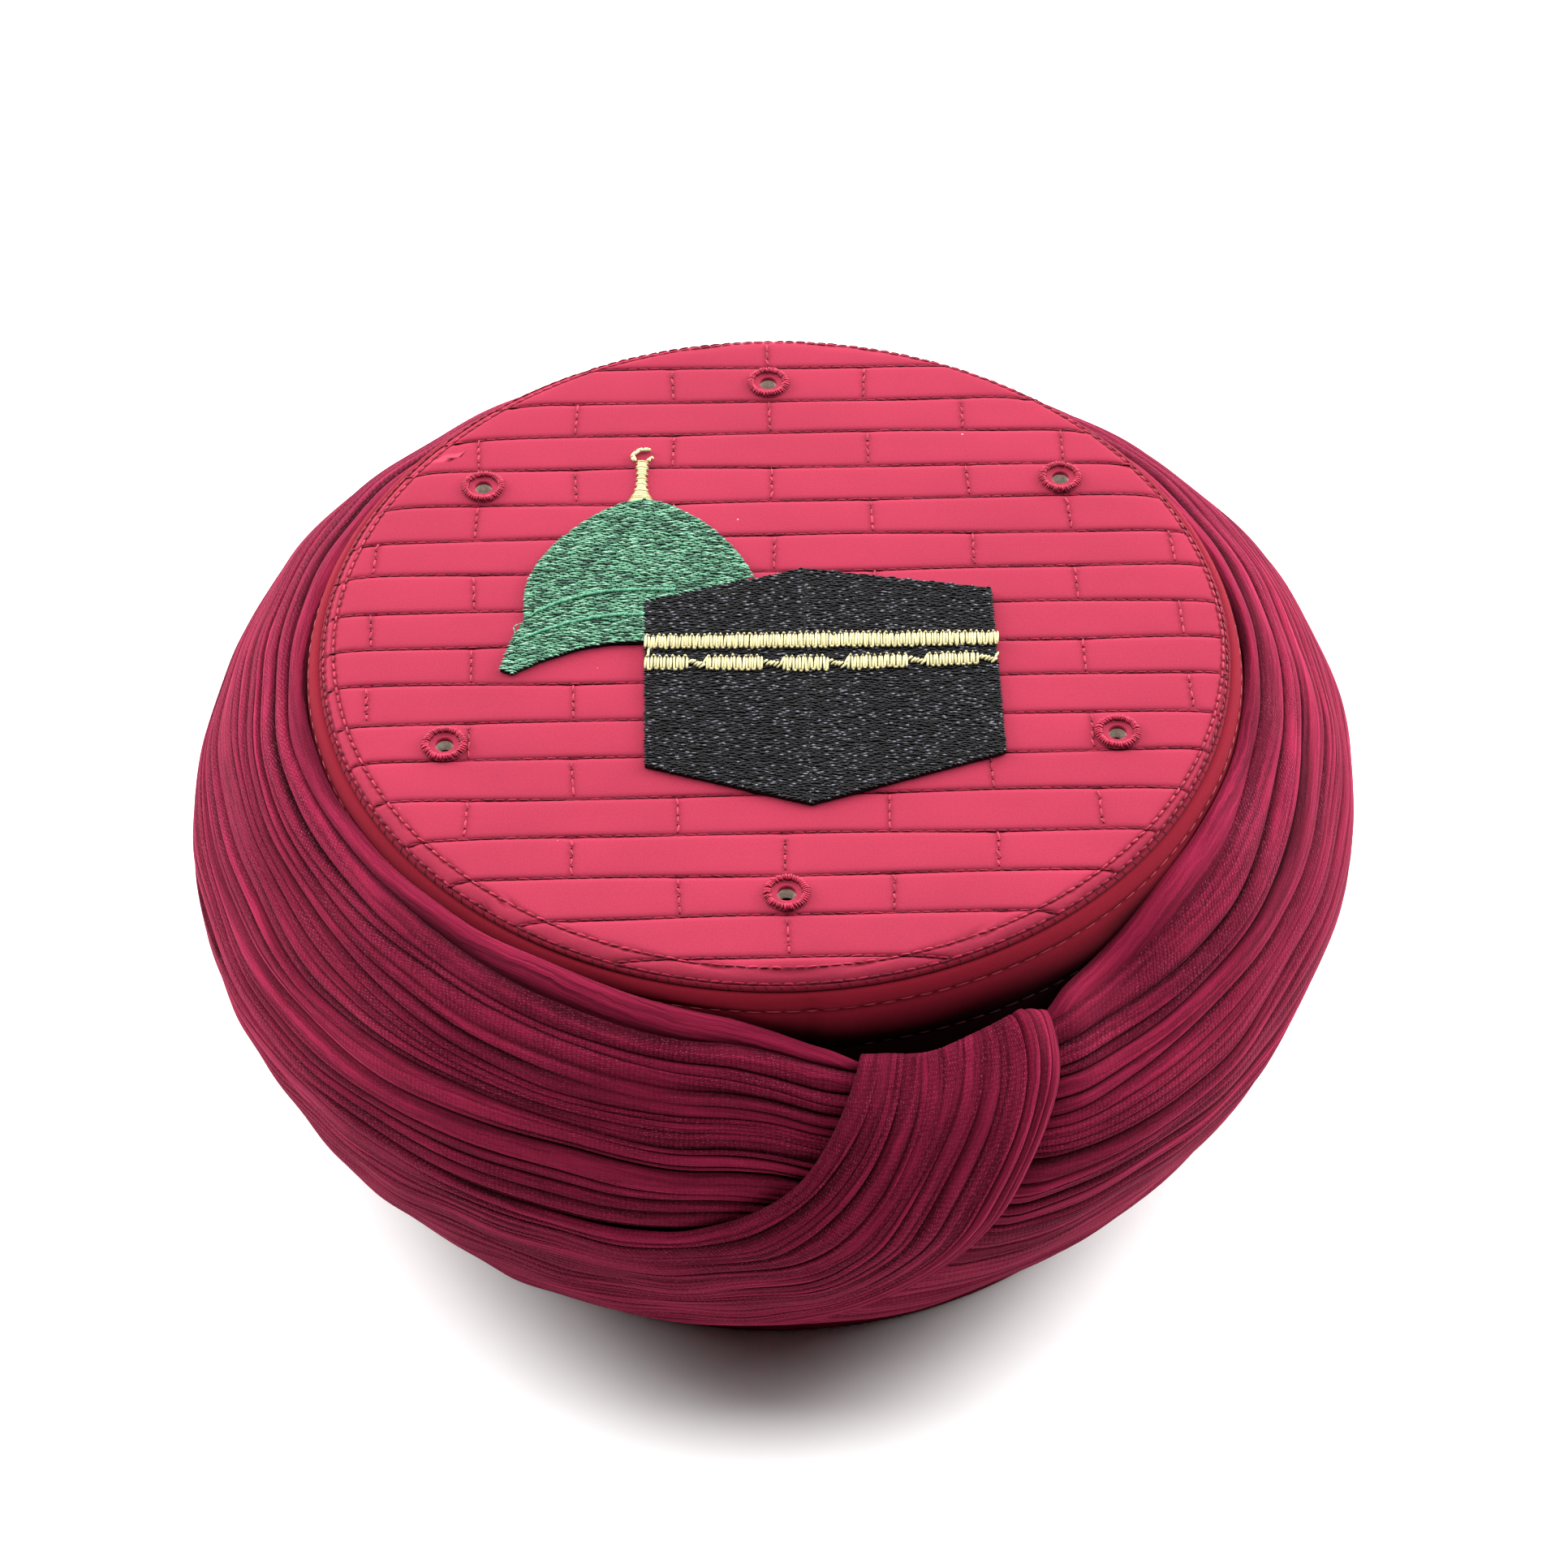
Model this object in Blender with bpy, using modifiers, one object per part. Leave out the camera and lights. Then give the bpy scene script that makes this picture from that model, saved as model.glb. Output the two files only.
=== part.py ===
"""A wrapped turban: a stiff cap with a flat quilted crown, wound with pleated gauze.

Metres, +Z up. The rim stands on Z = 0, the cap's axis is the Z axis, and the front faces -Y.
An azimuth is counted in degrees from the front, positive towards +X. A run is a distance in
millimetres down the outside of the wrap, from its top edge, over the bulge and round to its
lower edge.
"""

import math

import bmesh
import bpy
from mathutils import Matrix, Vector

MM = 0.001
GAP = 0.3

# The cap, in millimetres
CAP_HEIGHT = 107.0
CAP_WALL = 2.4
CROWN_RADIUS = 91.5
CROWN_THICKNESS = 3.0
CROWN_EDGE_ROUND = 1.4
RING_STEPS = 48

# The side band's outside, from the rim up to the crown's seam
BAND_COLUMNS = ("height", "radius")
BAND = ((0.0, 94.0), (45.0, 95.3), (92.0, 94.9), (101.9, 93.8), (105.7, 91.9))

# The crown's quilting: straight rows, and the raised cloth between two of them
QUILT_ROWS = 18
QUILT_PITCH = 10.345
QUILT_RISE = 0.4
QUILT_CENTRE = (0.5, -1.75)
QUILT_TURN = math.radians(1.64)
MIDDLE_ROW = 9
BRICK_LENGTH = 40.8

# Each eyelet's place: half bricks across from the middle, and rows down from the back
EYELET_COLUMNS = ("half_bricks", "row")
EYELETS = ((0.0, 1.5), (2.95, 4.5), (3.24, 11.6), (0.0, 15.5), (-3.23, 11.6), (-2.94, 4.5))
EYELET_RADIUS = 4.2
EYELET_HOLE_RADIUS = 1.6
EYELET_HEIGHT = 0.9
EYELET_STEPS = 12

# The embroidery on the crown
STITCH_HEIGHT = 0.8
GOLD_HEIGHT = 0.6
DOME_CENTRE = (-27.2, 11.8)
DOME_HALF_WIDTH = 23.3
DOME_RISE = 27.0
DOME_POWER = 1.55
DOME_STEPS = 10
DOME_FLARE = ((-50.5, 3.1), (-52.6, -2.6), (-54.6, -10.6), (-52.2, -11.5))
DOME_FOOT = ((-46.9, -8.1), (-38.8, -4.4), (-32.3, -2.9), (-26.7, -2.6))
CUBE_CORNERS = ((-26.3, 8.3), (5.6, 18.4), (43.7, 12.9), (45.2, -32.6), (7.2, -46.5), (-25.2, -36.6))
FINIAL_X = -27.9
FINIAL_COLUMNS = ("height", "half_width")
FINIAL = ((39.3, 2.6), (42.6, 1.2), (46.0, 0.95), (49.2, 1.25), (50.6, 1.1))
CRESCENT_CENTRE = (-27.5, 52.3)
CRESCENT_RADIUS = 2.0
CRESCENT_HALF_WIDTH = 0.55
CRESCENT_STEPS = 8
BAND_EDGE_COLUMNS = ("x", "upper_top", "upper_bottom", "lower_top", "lower_bottom")
BAND_EDGES = (
    (-25.5, -1.6, -5.3, -7.3, -11.1),
    (9.0, -0.6, -4.8, -7.2, -11.3),
    (44.2, -0.1, -3.8, -5.7, -9.2),
)
KNOTS = ((-17.5, -13.5), (-2.6, 1.9), (10.4, 14.7), (26.2, 30.5), (40.3, 43.6))
KNOT_SHARE = 0.4

# The wrap. Its section is half an oval: a flatter curve up to the top edge and a rounder one
# down to the lower edge, widest at WIDEST_HEIGHT
WRAP_RADIUS = 120.5
WIDEST_HEIGHT = 65.8
WIDEST_TILT = 2.5
UPPER_POWER = 1.40
LOWER_POWER = 1.55
LOWER_EDGE_RADIUS = 95.3
LOWER_EDGE_HEIGHT = 9.8
LOWER_EDGE_TILT = 1.2
WRAP_COLUMNS = ("azimuth", "edge_height", "edge_radius", "swell", "fold_opening")
WRAP = (
    (-180, 94.5, 96.5, 2.0, 0.0),
    (-150, 95.5, 96.5, 1.2, 0.0),
    (-120, 99.0, 96.3, 0.3, 0.0),
    (-90, 101.5, 95.8, -0.2, 0.0),
    (-60, 103.0, 95.2, 1.3, 0.0),
    (-40, 104.0, 95.0, 1.2, 0.0),
    (-20, 104.0, 95.0, 0.6, 0.0),
    (-5, 102.0, 95.8, 0.1, 0.0),
    (0, 98.5, 96.6, 0.0, 0.0),
    (4, 95.5, 98.0, 0.0, 0.2),
    (9, 94.8, 101.0, -0.2, 1.0),
    (31, 94.8, 101.0, -0.8, 1.0),
    (36, 94.0, 98.0, -0.8, 0.2),
    (41, 94.5, 96.5, -0.9, 0.0),
    (54, 100.0, 96.0, -1.1, 0.0),
    (62, 102.0, 95.8, -1.2, 0.0),
    (95, 101.0, 95.8, -0.6, 0.0),
    (120, 98.0, 96.3, 0.2, 0.0),
    (150, 95.0, 96.5, 1.2, 0.0),
)
WIDEST_SOFTNESS = 0.12
SECTION_STEPS = 48

# The turns of the wrap
TURNS = 6
BAND_CLEARANCE = 0.8
RIBS_PER_TURN = 3
RIB_DEPTH = 1.1
RIB_CREST = 0.6
FRONT_SAG = 0.04
FRONT_SAG_AZIMUTH = -22.0
FRONT_SAG_WIDTH = 30.0
FINE_FROM = 0.0
FINE_TO = 42.0
FINE_STEPS = 14
WIDE_STEPS = 44

# The pocket that the fold is tucked into, behind the top edge at the front
POCKET_DEPTH = 5.8
POCKET_FLOOR = 68.0
POCKET_FULL = 80.0
POCKET_RIM_RUN = 3.5
POCKET_RIM_DROP = 1.0

# The front fold: where its upper and lower edges run, and how far it stands proud
FOLD_COLUMNS = ("upper_azimuth", "upper_run", "lower_azimuth", "lower_run", "proud", "depth")
FOLD = (
    (-100.0, 50.0, -100.0, 103.0, 0.0, 1.0),
    (-85.0, 48.5, -80.0, 105.0, 0.0, 2.5),
    (-60.0, 47.5, -50.0, 105.0, 0.0, 2.5),
    (-40.0, 48.0, -22.0, 101.5, 0.5, 2.5),
    (-25.0, 48.0, -7.0, 91.5, 1.2, 2.5),
    (-15.0, 47.0, 2.5, 78.0, 2.0, 2.5),
    (-8.0, 44.0, 9.0, 63.5, 2.6, 2.5),
    (-3.8, 39.3, 14.8, 53.0, 3.0, 2.5),
    (-0.2, 32.7, 18.8, 42.5, 3.2, 2.5),
    (2.4, 26.7, 22.5, 31.0, 3.2, 2.5),
    (4.8, 18.7, 26.5, 20.5, 3.0, 2.5),
    (7.0, 10.2, 29.8, 11.0, 2.2, 2.5),
    (8.2, 5.0, 30.9, 5.0, 1.2, 2.5),
    (9.2, 0.0, 31.3, 0.0, 0.0, 2.5),
    (9.6, -2.5, 31.3, -2.5, 0.0, 2.5),
    (10.0, -5.0, 31.0, -5.0, 0.0, 2.5),
    (11.0, -13.5, 30.0, -13.5, 0.0, 2.5),
)
FOLD_STEP = 7.5
FOLD_RIBS = 5
FOLD_EDGE_SHARE = 0.45
FOLD_EDGE_DEPTH = 1.0
FOLD_RIM_ROUND = 3.3

# The turns dip under the fold, from this far outside its edges to this far inside them
RECESS_DEPTH = 3.1
RECESS_REACH = 7.0
MM_PER_DEGREE = 2.0


def clear_scene():
    """Empty the scene, so that the file holds this object alone."""
    for item in list(bpy.data.objects):
        bpy.data.objects.remove(item)


def new_collection(name):
    """A collection of this name under the scene's own."""
    collection = bpy.data.collections.new(name)
    bpy.context.scene.collection.children.link(collection)
    return collection


def new_material(name, colour, roughness, metallic=0.0):
    """A Principled material of one linear colour."""
    material = bpy.data.materials.new(name)
    material.use_nodes = True
    shader = material.node_tree.nodes["Principled BSDF"]
    shader.inputs["Base Color"].default_value = (*colour, 1.0)
    shader.inputs["Roughness"].default_value = roughness
    shader.inputs["Metallic"].default_value = metallic
    return material


def new_object(name, data, collection, material=None):
    """An object in this collection, with this material."""
    item = bpy.data.objects.new(name, data)
    collection.objects.link(item)
    if material:
        data.materials.append(material)
    return item


def mesh_object(name, mesh_edit, collection, material=None):
    """An object from a finished bmesh, with outward faces and smooth shading."""
    bmesh.ops.recalc_face_normals(mesh_edit, faces=mesh_edit.faces[:])
    mesh = bpy.data.meshes.new(name)
    mesh_edit.to_mesh(mesh)
    mesh_edit.free()
    mesh.shade_smooth()
    mesh.set_sharp_from_angle(angle=math.radians(40))
    return new_object(name, mesh, collection, material)


def between(value, rows, column):
    """A column of a table, read between its rows by the first column."""
    if value <= rows[0][0]:
        return rows[0][column]
    for low, high in zip(rows, rows[1:]):
        if value <= high[0]:
            share = (value - low[0]) / (high[0] - low[0])
            return low[column] + share * (high[column] - low[column])
    return rows[-1][column]


def around(azimuth, rows, column):
    """A column of a table whose first column is an azimuth, read right round."""
    first = rows[0]
    closing = (first[0] + 360.0, *first[1:])
    turned = (azimuth - first[0]) % 360.0 + first[0]
    return between(turned, (*rows, closing), column)


def smooth_step(value):
    """0 below 0, 1 above 1 and smooth between."""
    held = min(1.0, max(0.0, value))
    return held * held * (3.0 - 2.0 * held)


def place(azimuth, radius, height):
    """The point in metres at this azimuth, radius and height in millimetres."""
    angle = math.radians(azimuth)
    return Vector((radius * math.sin(angle), -radius * math.cos(angle), height)) * MM


def band_radius(height):
    """The side band's outer radius at this height."""
    return between(height, BAND, BAND_COLUMNS.index("radius"))


def add_turned(name, profile, steps, collection, material=None):
    """A ring or disc turned about Z. Its profile of radius and height runs down its outer side."""
    mesh_edit = bmesh.new()
    points = [mesh_edit.verts.new((radius * MM, 0.0, height * MM)) for radius, height in profile]
    for one, other in zip(points, points[1:] + points[:1]):
        if abs(one.co.x) > 1e-9 or abs(other.co.x) > 1e-9:
            mesh_edit.edges.new((one, other))
    mesh = bpy.data.meshes.new(name)
    mesh_edit.to_mesh(mesh)
    mesh_edit.free()
    item = new_object(name, mesh, collection, material)
    screw = item.modifiers.new("turn", "SCREW")
    screw.steps = steps
    screw.render_steps = steps
    screw.use_merge_vertices = True
    screw.merge_threshold = 0.00001
    return item


def baked(item):
    """The mesh of an object with its modifiers applied, its doubles merged and its faces out."""
    graph = bpy.context.evaluated_depsgraph_get()
    mesh = bpy.data.meshes.new_from_object(item.evaluated_get(graph))
    mesh_edit = bmesh.new()
    mesh_edit.from_mesh(mesh)
    bmesh.ops.remove_doubles(mesh_edit, verts=mesh_edit.verts[:], dist=1e-7)
    bmesh.ops.recalc_face_normals(mesh_edit, faces=mesh_edit.faces[:])
    mesh_edit.to_mesh(mesh)
    mesh_edit.free()
    return mesh


def add_boolean(item, operation, cutter):
    """A Boolean modifier on an object."""
    modifier = item.modifiers.new(cutter.name, "BOOLEAN")
    modifier.operation = operation
    modifier.solver = "EXACT"
    modifier.object = cutter


def as_cutter(item):
    """Marks an object as a helper that isn't part of the turban."""
    item.hide_render = True
    item.display_type = "WIRE"
    return item


def quilt_place(half_bricks, row):
    """The place on the crown of a point given in half bricks across and rows from the back."""
    across = half_bricks * BRICK_LENGTH / 2
    along = (MIDDLE_ROW - row) * QUILT_PITCH
    turned = Matrix.Rotation(QUILT_TURN, 2) @ Vector((across, along))
    return turned + Vector(QUILT_CENTRE)


def add_crown(collection, cutters, material):
    """The flat crown: a padded disc with a rounded edge, raised between its quilting rows."""
    quilt = bmesh.new()
    half_length = CROWN_RADIUS + 10.0
    bottom = CAP_HEIGHT - CROWN_THICKNESS - 2.0
    profile = []
    for row in range(QUILT_ROWS + 2):
        along = (MIDDLE_ROW - row + 1) * QUILT_PITCH
        profile.append((along, CAP_HEIGHT - QUILT_RISE))
        profile.append((along - 0.25 * QUILT_PITCH, CAP_HEIGHT))
        profile.append((along - 0.75 * QUILT_PITCH, CAP_HEIGHT))
    profile.append((profile[-1][0], bottom))
    profile.append((profile[0][0], bottom))
    outline = [quilt.verts.new((-half_length * MM, along * MM, high * MM)) for along, high in profile]
    face = quilt.faces.new(outline)
    pulled = bmesh.ops.extrude_face_region(quilt, geom=[face])
    moved = [item for item in pulled["geom"] if isinstance(item, bmesh.types.BMVert)]
    bmesh.ops.translate(quilt, verts=moved, vec=(2 * half_length * MM, 0, 0))
    bmesh.ops.rotate(quilt, verts=quilt.verts[:], matrix=Matrix.Rotation(QUILT_TURN, 3, "Z"))
    centre = Vector((*QUILT_CENTRE, 0.0)) * MM
    bmesh.ops.translate(quilt, verts=quilt.verts[:], vec=centre)
    crown = mesh_object("crown_panel", quilt, collection, material)

    low = CAP_HEIGHT - CROWN_THICKNESS
    high = CAP_HEIGHT + 1.0
    shoulder = CAP_HEIGHT - CROWN_EDGE_ROUND
    disc_profile = [
        (0.0, high),
        (CROWN_RADIUS - CROWN_EDGE_ROUND - 1.0, high),
        (CROWN_RADIUS - CROWN_EDGE_ROUND, CAP_HEIGHT - 0.05),
        (CROWN_RADIUS - 0.4 * CROWN_EDGE_ROUND, CAP_HEIGHT - 0.4 * CROWN_EDGE_ROUND),
        (CROWN_RADIUS, shoulder),
        (CROWN_RADIUS, low),
        (0.0, low),
    ]
    turned = add_turned("crown_outline", disc_profile, RING_STEPS, cutters)
    disc = as_cutter(new_object("crown_disc", baked(turned), cutters))
    bpy.data.objects.remove(turned)
    add_boolean(crown, "INTERSECT", disc)
    for number, (half_bricks, row) in enumerate(EYELETS, 1):
        punch = bmesh.new()
        bmesh.ops.create_cone(
            punch,
            cap_ends=True,
            segments=EYELET_STEPS,
            radius1=(EYELET_HOLE_RADIUS + 0.2) * MM,
            radius2=(EYELET_HOLE_RADIUS + 0.2) * MM,
            depth=4 * CROWN_THICKNESS * MM,
        )
        spot = quilt_place(half_bricks, row)
        bmesh.ops.translate(punch, verts=punch.verts[:], vec=(spot.x * MM, spot.y * MM, CAP_HEIGHT * MM))
        hole = as_cutter(mesh_object(f"eyelet_punch_{number}", punch, cutters))
        add_boolean(crown, "DIFFERENCE", hole)
    return crown


def add_side_band(collection, material):
    """The cap's upright wall, open below, with a rebate at the top that the crown sits in."""
    seat = CAP_HEIGHT - CROWN_THICKNESS - GAP
    lip = CROWN_RADIUS + GAP
    outside = [(radius, height) for height, radius in BAND]
    outside.reverse()
    inside = [(radius - CAP_WALL, height) for height, radius in BAND[:3]]
    shelf = [(CROWN_RADIUS - 3.0, seat - CAP_WALL), (CROWN_RADIUS - 3.0, seat), (lip, seat)]
    top = [(lip, BAND[-1][0] - 0.1)]
    profile = outside + inside + shelf + top
    return add_turned("side_band", profile, RING_STEPS, collection, material)


def add_eyelets(collection, material):
    """The six stitched rings, each a low ring that lies on the crown round its hole."""
    low = CAP_HEIGHT + GAP
    profile = [
        (EYELET_HOLE_RADIUS, low),
        (EYELET_HOLE_RADIUS + 0.3, low + EYELET_HEIGHT),
        (EYELET_RADIUS - 0.8, low + 0.85 * EYELET_HEIGHT),
        (EYELET_RADIUS, low),
    ]
    for number, (half_bricks, row) in enumerate(EYELETS, 1):
        ring = add_turned(f"eyelet_{number}", profile, EYELET_STEPS, collection, material)
        spot = quilt_place(half_bricks, row)
        ring.location = (spot.x * MM, spot.y * MM, 0.0)


def add_plate(name, outline, low, thickness, collection, material):
    """A flat plate of dense stitching: an outline in millimetres, filled and raised."""
    mesh_edit = bmesh.new()
    points = [mesh_edit.verts.new((x * MM, y * MM, low * MM)) for x, y in outline]
    face = mesh_edit.faces.new(points)
    raised = bmesh.ops.extrude_face_region(mesh_edit, geom=[face])
    moved = [item for item in raised["geom"] if isinstance(item, bmesh.types.BMVert)]
    bmesh.ops.translate(mesh_edit, verts=moved, vec=(0, 0, thickness * MM))
    return mesh_object(name, mesh_edit, collection, material)


def cube_top_edge(x):
    """The height of the cube figure's upper outline at this place across."""
    return between(x, CUBE_CORNERS[:3], 1)


def dome_outline():
    """The dome: its rounded top, the flare at its left, its foot, and the cube's edge at its right."""
    centre_x, centre_y = DOME_CENTRE
    arch = []
    for step in range(-DOME_STEPS, DOME_STEPS + 1):
        angle = math.radians(90.0 * step / DOME_STEPS)
        power = 2.0 / DOME_POWER
        x = centre_x + DOME_HALF_WIDTH * math.copysign(abs(math.sin(angle)) ** power, step)
        y = centre_y + DOME_RISE * abs(math.cos(angle)) ** power
        arch.append((x, y))
    clear = GAP + 0.1
    left_wall = CUBE_CORNERS[0][0] - clear
    kept = [(x, y) for x, y in arch if x <= left_wall or y > cube_top_edge(x) + 2 * clear]
    foot = [(min(x, left_wall), y) for x, y in DOME_FOOT]
    along_cube = [(left_wall, cube_top_edge(CUBE_CORNERS[0][0]) + clear)]
    last_x = kept[-1][0]
    along_cube.append((last_x - 0.5, cube_top_edge(last_x - 0.5) + clear))
    return kept + along_cube[::-1] + foot[::-1] + list(DOME_FLARE)[::-1]


def finial_outline():
    """The finial: a stem that narrows upwards and carries an open crescent."""
    right = [(FINIAL_X + half, height) for height, half in FINIAL]
    left = [(FINIAL_X - half, height) for height, half in FINIAL]
    centre_x, centre_y = CRESCENT_CENTRE
    outer = []
    inner = []
    for step in range(CRESCENT_STEPS + 1):
        angle = math.radians(245.0 - 215.0 * step / CRESCENT_STEPS)
        thin = CRESCENT_HALF_WIDTH * math.sin(math.pi * (0.15 + 0.75 * step / CRESCENT_STEPS)) ** 0.5
        for line, radius in ((outer, CRESCENT_RADIUS + thin), (inner, CRESCENT_RADIUS - thin)):
            line.append((centre_x + radius * math.cos(angle), centre_y + radius * math.sin(angle)))
    return right + inner[1:] + outer[:0:-1] + left[:-1][::-1]


def gold_outlines():
    """The two gold bands: one unbroken, one of blocks with a thin knot between them."""
    upper_top = BAND_EDGE_COLUMNS.index("upper_top")
    lower_top = BAND_EDGE_COLUMNS.index("lower_top")
    top = [(row[0], row[upper_top]) for row in BAND_EDGES]
    bottom = [(row[0], row[upper_top + 1]) for row in BAND_EDGES]
    upper = top + bottom[::-1]
    high, low = [], []
    spots = [(BAND_EDGES[0][0], 1.0)]
    for start, end in KNOTS:
        spots += [(start, 1.0), (start + 0.3, KNOT_SHARE), (end - 0.3, KNOT_SHARE), (end, 1.0)]
    spots[-1] = (KNOTS[-1][1], KNOT_SHARE)
    for x, share in spots:
        above = between(x, BAND_EDGES, lower_top)
        below = between(x, BAND_EDGES, lower_top + 1)
        middle = (above + below) / 2
        half = share * (above - below) / 2
        high.append((x, middle + half))
        low.append((x, middle - half))
    return upper, high + low[::-1]


def add_embroidery(collection, green, black, gold):
    """The stitched figures on the crown: the dome, its finial, the cube and its two bands."""
    low = CAP_HEIGHT + GAP
    add_plate("dome_embroidery", dome_outline(), low, STITCH_HEIGHT, collection, green)
    add_plate("finial_embroidery", finial_outline(), low, STITCH_HEIGHT, collection, gold)
    add_plate("cube_embroidery", CUBE_CORNERS, low, STITCH_HEIGHT, collection, black)
    upper, lower = gold_outlines()
    on_cube = low + STITCH_HEIGHT + GAP
    add_plate("gold_band_upper", upper, on_cube, GOLD_HEIGHT, collection, gold)
    add_plate("gold_band_lower", lower, on_cube, GOLD_HEIGHT, collection, gold)


def wrap_value(azimuth, column):
    """A named column of the wrap's table at this azimuth."""
    return around(azimuth, WRAP, WRAP_COLUMNS.index(column))


def softened(rise, power):
    """A height share raised to a power below 2, with the point that this leaves at 0 rounded off."""
    base = WIDEST_SOFTNESS**power
    full = (1.0 + WIDEST_SOFTNESS**2) ** (power / 2) - base
    return min(1.0, ((rise**2 + WIDEST_SOFTNESS**2) ** (power / 2) - base) / full)


class WrapSection:
    """The wrap's outline in the plane of one azimuth, read by its run."""

    def __init__(self, azimuth):
        lean = math.sin(math.radians(azimuth))
        self.azimuth = azimuth
        self.edge_height = wrap_value(azimuth, "edge_height")
        self.edge_radius = wrap_value(azimuth, "edge_radius")
        widest = WRAP_RADIUS + wrap_value(azimuth, "swell")
        middle = WIDEST_HEIGHT + WIDEST_TILT * lean
        foot = LOWER_EDGE_HEIGHT + LOWER_EDGE_TILT * lean
        self.points = []
        for step in range(-SECTION_STEPS, SECTION_STEPS + 1):
            if step < 0:
                power, edge, end = UPPER_POWER, self.edge_radius, self.edge_height
            else:
                power, edge, end = LOWER_POWER, LOWER_EDGE_RADIUS, foot
            rise = math.sin(math.radians(90.0 * abs(step) / SECTION_STEPS)) ** (2.0 / power)
            width = (1.0 - softened(rise, power)) ** (1.0 / power)
            self.points.append((edge + (widest - edge) * width, middle + (end - middle) * rise))
        self.runs = [0.0]
        for one, other in zip(self.points, self.points[1:]):
            self.runs.append(self.runs[-1] + math.dist(one, other))
        self.length = self.runs[-1]

    def over_edge(self, run, lift):
        """The point for a run below 0: round over the top edge, then straight down inside."""
        quarter = FOLD_RIM_ROUND * math.pi / 2
        centre_height = self.edge_height - FOLD_RIM_ROUND
        reach = FOLD_RIM_ROUND + lift
        angle = min(-run, quarter) / FOLD_RIM_ROUND
        drop = max(0.0, -run - quarter)
        return (
            self.edge_radius - reach * math.sin(angle),
            centre_height + reach * math.cos(angle) - drop,
        )

    def point(self, run, lift=0.0):
        """The place at this run, lifted outwards from the outline by so much."""
        if run < 0:
            return place(self.azimuth, *self.over_edge(run, lift))
        held = min(run, self.length - 1e-6)
        index = max(i for i, value in enumerate(self.runs[:-1]) if value <= held)
        (r1, h1), (r2, h2) = self.points[index], self.points[index + 1]
        share = (held - self.runs[index]) / (self.runs[index + 1] - self.runs[index])
        along = Vector((r2 - r1, h2 - h1)).normalized()
        radius = r1 + share * (r2 - r1) - along.y * lift
        height = h1 + share * (h2 - h1) + along.x * lift
        return place(self.azimuth, radius, height)


def fold_footprint():
    """The fold's outline on the flattened wrap, in millimetres round it and down it."""
    upper = [Vector((row[0] * MM_PER_DEGREE, row[1])) for row in FOLD]
    lower = [Vector((row[2] * MM_PER_DEGREE, row[3])) for row in FOLD]
    return upper + lower[::-1]


FOOTPRINT = fold_footprint()


def outside_fold(azimuth, run):
    """How far this place lies outside the fold's outline, negative where it lies under the fold."""
    spot = Vector((azimuth * MM_PER_DEGREE, run))
    nearest = math.inf
    inside = False
    for one, other in zip(FOOTPRINT, FOOTPRINT[1:] + FOOTPRINT[:1]):
        along = other - one
        share = min(1.0, max(0.0, (spot - one).dot(along) / max(along.length_squared, 1e-9)))
        nearest = min(nearest, (spot - one - share * along).length)
        if (one.y > spot.y) != (other.y > spot.y):
            crossing = one.x + (spot.y - one.y) * along.x / along.y
            inside ^= spot.x < crossing
    return -nearest if inside else nearest


def recess(azimuth, run):
    """How deep the turns dip at this place, to pass under the front fold."""
    outside = outside_fold(azimuth, run)
    return RECESS_DEPTH * (1.0 - smooth_step((outside + RECESS_REACH) / (2 * RECESS_REACH)))


def turn_split(number, azimuth):
    """Where turns part on the outside, as a share of the run: 1 at the lower edge, 0 at the top."""
    level = 1.0 - number / TURNS
    sag = FRONT_SAG * math.exp(-(((azimuth - FRONT_SAG_AZIMUTH) / FRONT_SAG_WIDTH) ** 2))
    return level + sag * math.sin(math.pi * level)


def pocket(azimuth, height):
    """How far the wrap stands off the band behind its top edge."""
    opening = wrap_value(azimuth, "fold_opening")
    rise = smooth_step((height - POCKET_FLOOR) / (POCKET_FULL - POCKET_FLOOR))
    return POCKET_DEPTH * opening * rise


def turn_section(number, azimuth):
    """One turn's section at one azimuth: up its outside over its ribs, and down its inside."""
    section = WrapSection(azimuth)
    opening = wrap_value(azimuth, "fold_opening")
    rim_run = POCKET_RIM_RUN * opening
    visible = section.length - rim_run
    low_run = rim_run + visible * turn_split(number, azimuth)
    high_run = rim_run + visible * turn_split(number + 1, azimuth)
    if number > 0:
        low_run -= GAP / 2
    if number + 1 < TURNS:
        high_run += GAP / 2
    outside = []
    for rib in range(RIBS_PER_TURN):
        for share, depth in ((0.0, RIB_DEPTH), (RIB_CREST, 0.0)):
            run = low_run + (rib + share) * (high_run - low_run) / RIBS_PER_TURN
            outside.append((run, depth))
    last_depth = RIB_DEPTH if number + 1 < TURNS else 0.0
    outside.append((high_run, last_depth))
    points = []
    for run, depth in outside:
        dip = recess(azimuth, run)
        points.append(section.point(run, -dip - depth * (1.0 - dip / RECESS_DEPTH)))

    edge = section.point(rim_run, -recess(azimuth, rim_run))
    bottom = LOWER_EDGE_HEIGHT + LOWER_EDGE_TILT * math.sin(math.radians(azimuth)) + 1.0
    top = edge.z / MM - POCKET_RIM_DROP
    step = (top - bottom) / TURNS
    low = bottom + number * step + (GAP / 2 if number > 0 else 0.0)
    high = bottom + (number + 1) * step - (GAP / 2 if number + 1 < TURNS else 0.0)
    for share in (1.0, 0.0):
        height = low + share * (high - low)
        radius = band_radius(height) + BAND_CLEARANCE + pocket(azimuth, height)
        points.append(place(azimuth, radius, height))
    return points


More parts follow.
